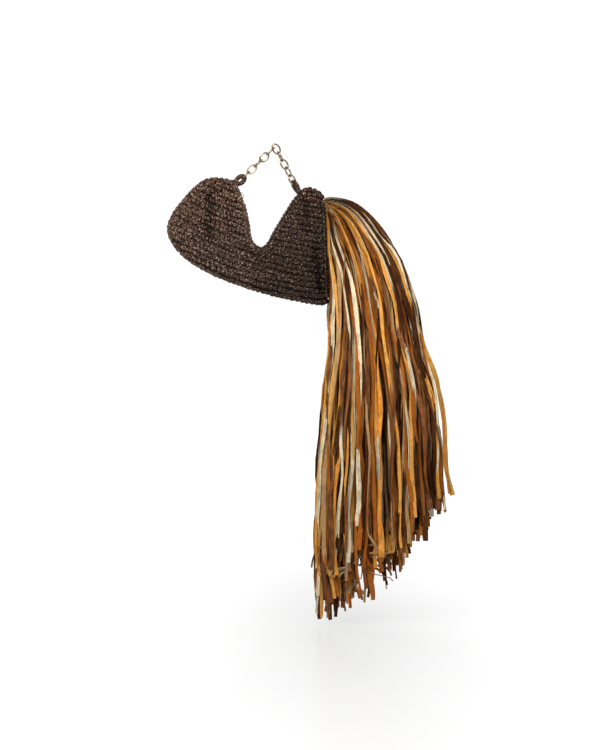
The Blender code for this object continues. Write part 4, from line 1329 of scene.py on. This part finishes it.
def build_knots(settings):
    """The row of knots that ties the raffia to the pouch's side."""
    rng = np.random.default_rng(51)
    angles = np.linspace(-KNOT_ENDS, KNOT_ENDS, KNOT_POINTS)
    shape = KNOT_SIZE * np.stack([np.cos(angles), np.sin(angles), np.cos(2 * angles)], axis=1)
    lines = []
    for z in np.linspace(SIDE_LOW[1] + KNOT_LOWEST, SIDE_TOP[1] - KNOT_HIGHEST, KNOT_ROWS):
        for lane in range(KNOT_LANES):
            y = (lane - (KNOT_LANES - 1) / 2) * KNOT_LANE_PITCH + rng.normal(0.0, KNOT_SPREAD_Y)
            height = z + rng.normal(0.0, KNOT_SPREAD_Z) + KNOT_STAGGER * (lane % 2)
            lines.append(np.array((side_x(z) + KNOT_STAND, y, height)) + shape)
    lines = np.array(lines)
    section = round_section(np.full(lines.shape[:2], KNOT_RADIUS), KNOT_CORNERS) * KNOT_FLATTENED
    points, faces = sweep(lines, np.broadcast_to(KNOT_FACING, lines.shape), section)
    uv = tube_uv(lines, KNOT_CORNERS, KNOT_TWIST) + np.array((KNOT_DYE, 0.0))
    piece = mesh_piece("fringe_knots", points, faces, raffia_material("rust"), uv)
    add_values(piece, "painted_light", np.full(len(points), KNOT_PAINTED_LIGHT))
    smooth_by_angle(piece, 60)
    return piece


# The stage, in metres. The room is bright above, darker at its sides and behind, and its back is a horizon
ROOM_ABOVE = (-0.3, 0.7, 0.45, 1.35)
ROOM_SIDES = (0.45, 0.9, 1.0, 0.12)
ROOM_BEHIND = (0.1, 0.8, 1.0, 0.25)
ROOM_HORIZON = (0.93, 0.985, 0.0, 0.6)
CAMERA_WHITE = 1.05
FLOOR_SIZE = 40.0
# The painted shadow below the bag: an oval where the floor's own light is fainter
PAINTED_SHADOW_OVAL = {"Location": (-0.144, -0.02, 0.0), "Scale": (1.2, 0.2, 0.0)}
FLOOR_FAR_GLOW = 1.08
FLOOR_GREY, FLOOR_ROUGHNESS, FLOOR_SPECULAR = 0.12, 0.2, 0.002
GLOW_FADE_POWER = 2.0
SENSOR_WIDTH = 36.0
VIEW_END = 100.0
Light = namedtuple("Light", "name place size share colour")
LIGHTS = (
    Light("key", (-1.0, -2.4, 1.3), 1.5, 1.0, (1.0, 0.985, 0.96)),
    Light("fill", (1.8, -2.0, 0.1), 1.4, 0.12, (0.96, 0.98, 1.0)),
    Light("back", (0.5, 2.4, 1.5), 1.2, 0.6, (1.0, 0.99, 0.97)),
)
LIGHTS_AIM = (0.04, 0.0, -0.35)


def add_light(row, power):
    bpy.ops.object.light_add(type="AREA", location=row.place)
    light = bpy.context.object
    light.name = row.name
    light.data.shape = "DISK"
    light.data.size = row.size
    light.data.energy = power * row.share
    light.data.color = row.colour
    aim = Vector(LIGHTS_AIM) - light.location
    light.rotation_euler = aim.to_track_quat("-Z", "Y").to_euler()


def build_room(settings):
    """White to the camera, and to the object a room that is bright above and darker at its sides."""
    world = bpy.context.scene.world or bpy.data.worlds.new("studio")
    bpy.context.scene.world = world
    world.use_nodes = True
    background = world.node_tree.nodes["Background"]
    background.inputs["Color"].default_value = (1.0, 1.0, 1.0, 1.0)
    wires = Wiring(world.node_tree)
    at = wires.parts(wires.add("ShaderNodeTexCoord").outputs["Generated"])
    sides = wires.ramp(wires.math("ABSOLUTE", at["X"]), *ROOM_SIDES)
    room = wires.math("MULTIPLY", wires.ramp(at["Z"], *ROOM_ABOVE), sides)
    room = wires.math("MULTIPLY", room, wires.ramp(at["Y"], *ROOM_BEHIND))
    room = wires.math("MULTIPLY", room, settings.ambient)
    room = wires.math("MAXIMUM", room, wires.ramp(at["Y"], *ROOM_HORIZON))
    seen = wires.add("ShaderNodeLightPath").outputs["Is Camera Ray"]
    strength = wires.add("ShaderNodeMix", {0: seen, 2: room, 3: CAMERA_WHITE})
    wires.tree.links.new(strength.outputs[0], background.inputs["Strength"])


def floor_material(settings):
    """White floor with its own light, so that it has no horizon, and a painted shadow below the bag: an oval
    where that light is fainter.
    """
    grey = (FLOOR_GREY, FLOOR_GREY, FLOOR_GREY)
    material, shader = new_material("floor_white", grey, FLOOR_ROUGHNESS, specular=FLOOR_SPECULAR)
    wires = Wiring(material.node_tree)
    place = wires.add("ShaderNodeTexCoord").outputs["Object"]
    # Painted shadow: the floor's own light fades from the far glow to the floor glow inside the oval
    oval = wires.add("ShaderNodeMapping", {"Vector": place, **PAINTED_SHADOW_OVAL}).outputs[0]
    away = wires.add("ShaderNodeVectorMath", (oval,), operation="LENGTH").outputs["Value"]
    near = wires.math("POWER", wires.ramp(away, 0.0, 1.0, 1.0, 0.0), GLOW_FADE_POWER)
    glow = wires.ramp(near, 1.0, 0.0, settings.floor_glow_in_shadow, FLOOR_FAR_GLOW)
    wires.tree.links.new(glow, shader.inputs["Emission Color"])
    shader.inputs["Emission Strength"].default_value = 1.0
    return material


def build_stage(settings):
    bpy.ops.object.select_all(action="DESELECT")
    bpy.ops.mesh.primitive_plane_add(size=FLOOR_SIZE, location=(0.0, 0.0, settings.floor_height))
    floor = bpy.context.object
    floor.name = "floor"
    bpy.ops.object.transform_apply(location=True, rotation=True, scale=True)
    floor.data.materials.append(floor_material(settings))
    build_room(settings)
    for row in LIGHTS:
        add_light(row, settings.key_power)
    bpy.context.scene.view_settings.view_transform = "Standard"
    bpy.ops.object.camera_add(location=(settings.centre_x, -settings.distance, settings.centre_z))
    camera = bpy.context.object
    camera.rotation_euler = (math.pi / 2, 0.0, 0.0)
    camera.data.sensor_fit = "AUTO"
    camera.data.sensor_width = SENSOR_WIDTH
    camera.data.lens = SENSOR_WIDTH * settings.distance / settings.frame_height
    camera.data.clip_end = VIEW_END
    bpy.context.scene.camera = camera


# Settings


def colour_setting(name, description, default):
    return FloatVectorProperty(
        name=name, description=description, default=default, subtype="COLOR", size=3, min=0.0, max=1.0
    )


def length_setting(name, description, default):
    return FloatProperty(name=name, description=description, default=default, unit="LENGTH", precision=5)


def number_setting(name, description, default, **options):
    return FloatProperty(name=name, description=description, default=default, min=0.0, **options)


class CrochetSettings(bpy.types.PropertyGroup):
    """Sizes and colours of the crochet."""

    stitch_width: length_setting("Stitch Width", "Width of one stitch along its row", 0.0074)
    row_pitch: length_setting("Row Pitch", "Height of one crochet row", 0.0083)
    yarn_radius: length_setting("Yarn Radius", "Half the thickness of the yarn", 0.00155)
    ground: colour_setting("Ground", "Main colour of the yarn", (0.052, 0.029, 0.0195))
    fleck: colour_setting("Fleck", "Colour of the pale fibres", (0.56, 0.43, 0.33))
    warm: colour_setting("Warm", "Colour of the reddish patches", (0.095, 0.036, 0.024))
    fleck_level: number_setting("Fleck Level", "Noise level above which flecks show", 0.57, max=1.0)


class ChainSettings(bpy.types.PropertyGroup):
    """Colours of the chain."""

    plate: colour_setting("Plate", "Colour of the plating", (0.36, 0.275, 0.165))
    tarnish: colour_setting("Tarnish", "Colour of the darker plating", (0.11, 0.07, 0.035))


class FringeSettings(bpy.types.PropertyGroup):
    """Sizes of the raffia fringe."""

    ribbon_width: length_setting("Ribbon Width", "Usual width of a raffia ribbon", 0.0062)
    ribbon_thickness: length_setting("Ribbon Thickness", "Thickness of a raffia ribbon", 0.0003)
    layers: IntProperty(name="Layers", description="Layers of ribbons in depth", default=9, min=3, max=20)
    ribbons_per_layer: IntProperty(
        name="Ribbons per Layer", description="Ribbons across one layer", default=66, min=10, max=120
    )


class StageSettings(bpy.types.PropertyGroup):
    """Floor, lights and camera."""

    floor_height: length_setting("Floor Height", "Height of the floor", -0.7925)
    distance: length_setting("Camera Distance", "How far the camera is from the bag", 3.5)
    frame_height: length_setting("Frame Height", "Height of the view at the bag", 1.2375)
    centre_x: length_setting("Centre X", "Where the view's centre lies, to the right", 0.04125)
    centre_z: length_setting("Centre Z", "Where the view's centre lies, upwards", -0.3795)
    ambient: number_setting("Ambient", "Strength of the white room", 0.38)
    # The floor's own light at the middle of the painted shadow below the bag
    floor_glow_in_shadow: number_setting("Floor Glow", "Light that the floor adds below the bag", 0.66)
    key_power: number_setting("Key Power", "Power of the main light", 68.0, unit="POWER")


# Operators

MADE = {}


def dress(piece):
    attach(piece, "root")
    return piece


class CLUTCH_OT_cloth(bpy.types.Operator):
    """Makes the pouch's cloth, the thin sheet under its stitches"""

    bl_idname = "clutch.cloth"
    bl_label = "Pouch Cloth"

    def execute(self, context):
        MADE["cloth"] = build_cloth(context.scene.clutch_crochet)
        return {"FINISHED"}


class CLUTCH_OT_stitches(bpy.types.Operator):
    """Lays rows of yarn stitches on both faces of the pouch"""

    bl_idname = "clutch.stitches"
    bl_label = "Crochet Stitches"

    def execute(self, context):
        MADE["on_cloth"] = build_stitches(context.scene.clutch_crochet, MADE["cloth"])
        return {"FINISHED"}


class CLUTCH_OT_edgings(bpy.types.Operator):
    """Wraps the mouth's lips, adds the column beside the fringe and gives the cloth its thickness"""

    bl_idname = "clutch.edgings"
    bl_label = "Edgings"

    def execute(self, context):
        MADE["on_cloth"] += build_edgings(context.scene.clutch_crochet, MADE["cloth"])
        cloth = MADE["cloth"]
        thicken_cloth(cloth)
        for piece in [cloth] + MADE["on_cloth"]:
            dress(piece)
        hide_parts("pouch")
        return {"FINISHED"}


class CLUTCH_OT_chain(bpy.types.Operator):
    """Makes the ten oval links of the chain"""

    bl_idname = "clutch.chain"
    bl_label = "Chain"

    def execute(self, context):
        material = gold_material(context.scene.clutch_chain)
        rows, _, _ = chain_rows()
        for number, (centre, axis, roll) in enumerate(rows, start=1):
            link = dress(build_link(number, centre, axis, roll, material))
            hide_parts(f"link_{number:02d}")
        return {"FINISHED"}


class CLUTCH_OT_loops(bpy.types.Operator):
    """Makes the two yarn loops that hold the chain's ends"""

    bl_idname = "clutch.loops"
    bl_label = "Yarn Loops"

    def execute(self, context):
        _, left_wire, right_wire = chain_rows()
        for loop, wire in ((LEFT_LOOP, left_wire), (RIGHT_LOOP, right_wire)):
            piece = dress(build_yarn_loop(loop, wire, context.scene.clutch_crochet))
            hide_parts(loop.name)
        return {"FINISHED"}


class CLUTCH_OT_fringe(bpy.types.Operator):
    """Makes the raffia ribbons and the knots at their roots"""

    bl_idname = "clutch.fringe"
    bl_label = "Raffia Fringe"

    def execute(self, context):
        settings = context.scene.clutch_fringe
        for piece in build_fringe(settings) + [build_knots(settings)]:
            dress(piece)
            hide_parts("fringe")
        return {"FINISHED"}


class CLUTCH_OT_stage(bpy.types.Operator):
    """Sets up the white floor, the lights and the camera"""

    bl_idname = "clutch.stage"
    bl_label = "Stage"

    def execute(self, context):
        build_stage(context.scene.clutch_stage)
        return {"FINISHED"}


OPERATORS = (
    CLUTCH_OT_stage, CLUTCH_OT_cloth, CLUTCH_OT_stitches, CLUTCH_OT_edgings,
    CLUTCH_OT_chain, CLUTCH_OT_loops, CLUTCH_OT_fringe,
)
GROUPS = {
    "clutch_crochet": CrochetSettings, "clutch_chain": ChainSettings,
    "clutch_fringe": FringeSettings, "clutch_stage": StageSettings,
}


class CLUTCH_PT_panel(bpy.types.Panel):
    """Lists the clutch's pieces and settings"""

    bl_idname = "CLUTCH_PT_panel"
    bl_label = "Crochet Clutch"
    bl_space_type = "VIEW_3D"
    bl_region_type = "UI"
    bl_category = "Clutch"

    def draw(self, context):
        for operator in OPERATORS:
            self.layout.operator(operator.bl_idname)
        for name in GROUPS:
            box = self.layout.box()
            settings = getattr(context.scene, name)
            for field in settings.bl_rna.properties.keys():
                if field not in ("rna_type", "name"):
                    box.prop(settings, field)


def register():
    for item in (*GROUPS.values(), *OPERATORS, CLUTCH_PT_panel):
        bpy.utils.register_class(item)
    for name, group in GROUPS.items():
        setattr(bpy.types.Scene, name, PointerProperty(type=group))


def unregister():
    for name in GROUPS:
        delattr(bpy.types.Scene, name)
    for item in reversed((*GROUPS.values(), *OPERATORS, CLUTCH_PT_panel)):
        bpy.utils.unregister_class(item)


def main():
    register()
    bpy.ops.object.select_all(action="DESELECT")
    bpy.ops.clutch.stage()
    bpy.ops.clutch.cloth()
    bpy.ops.clutch.stitches()
    bpy.ops.clutch.edgings()
    bpy.ops.clutch.chain()
    bpy.ops.clutch.loops()
    bpy.ops.clutch.fringe()


if __name__ == "__main__":
    main()
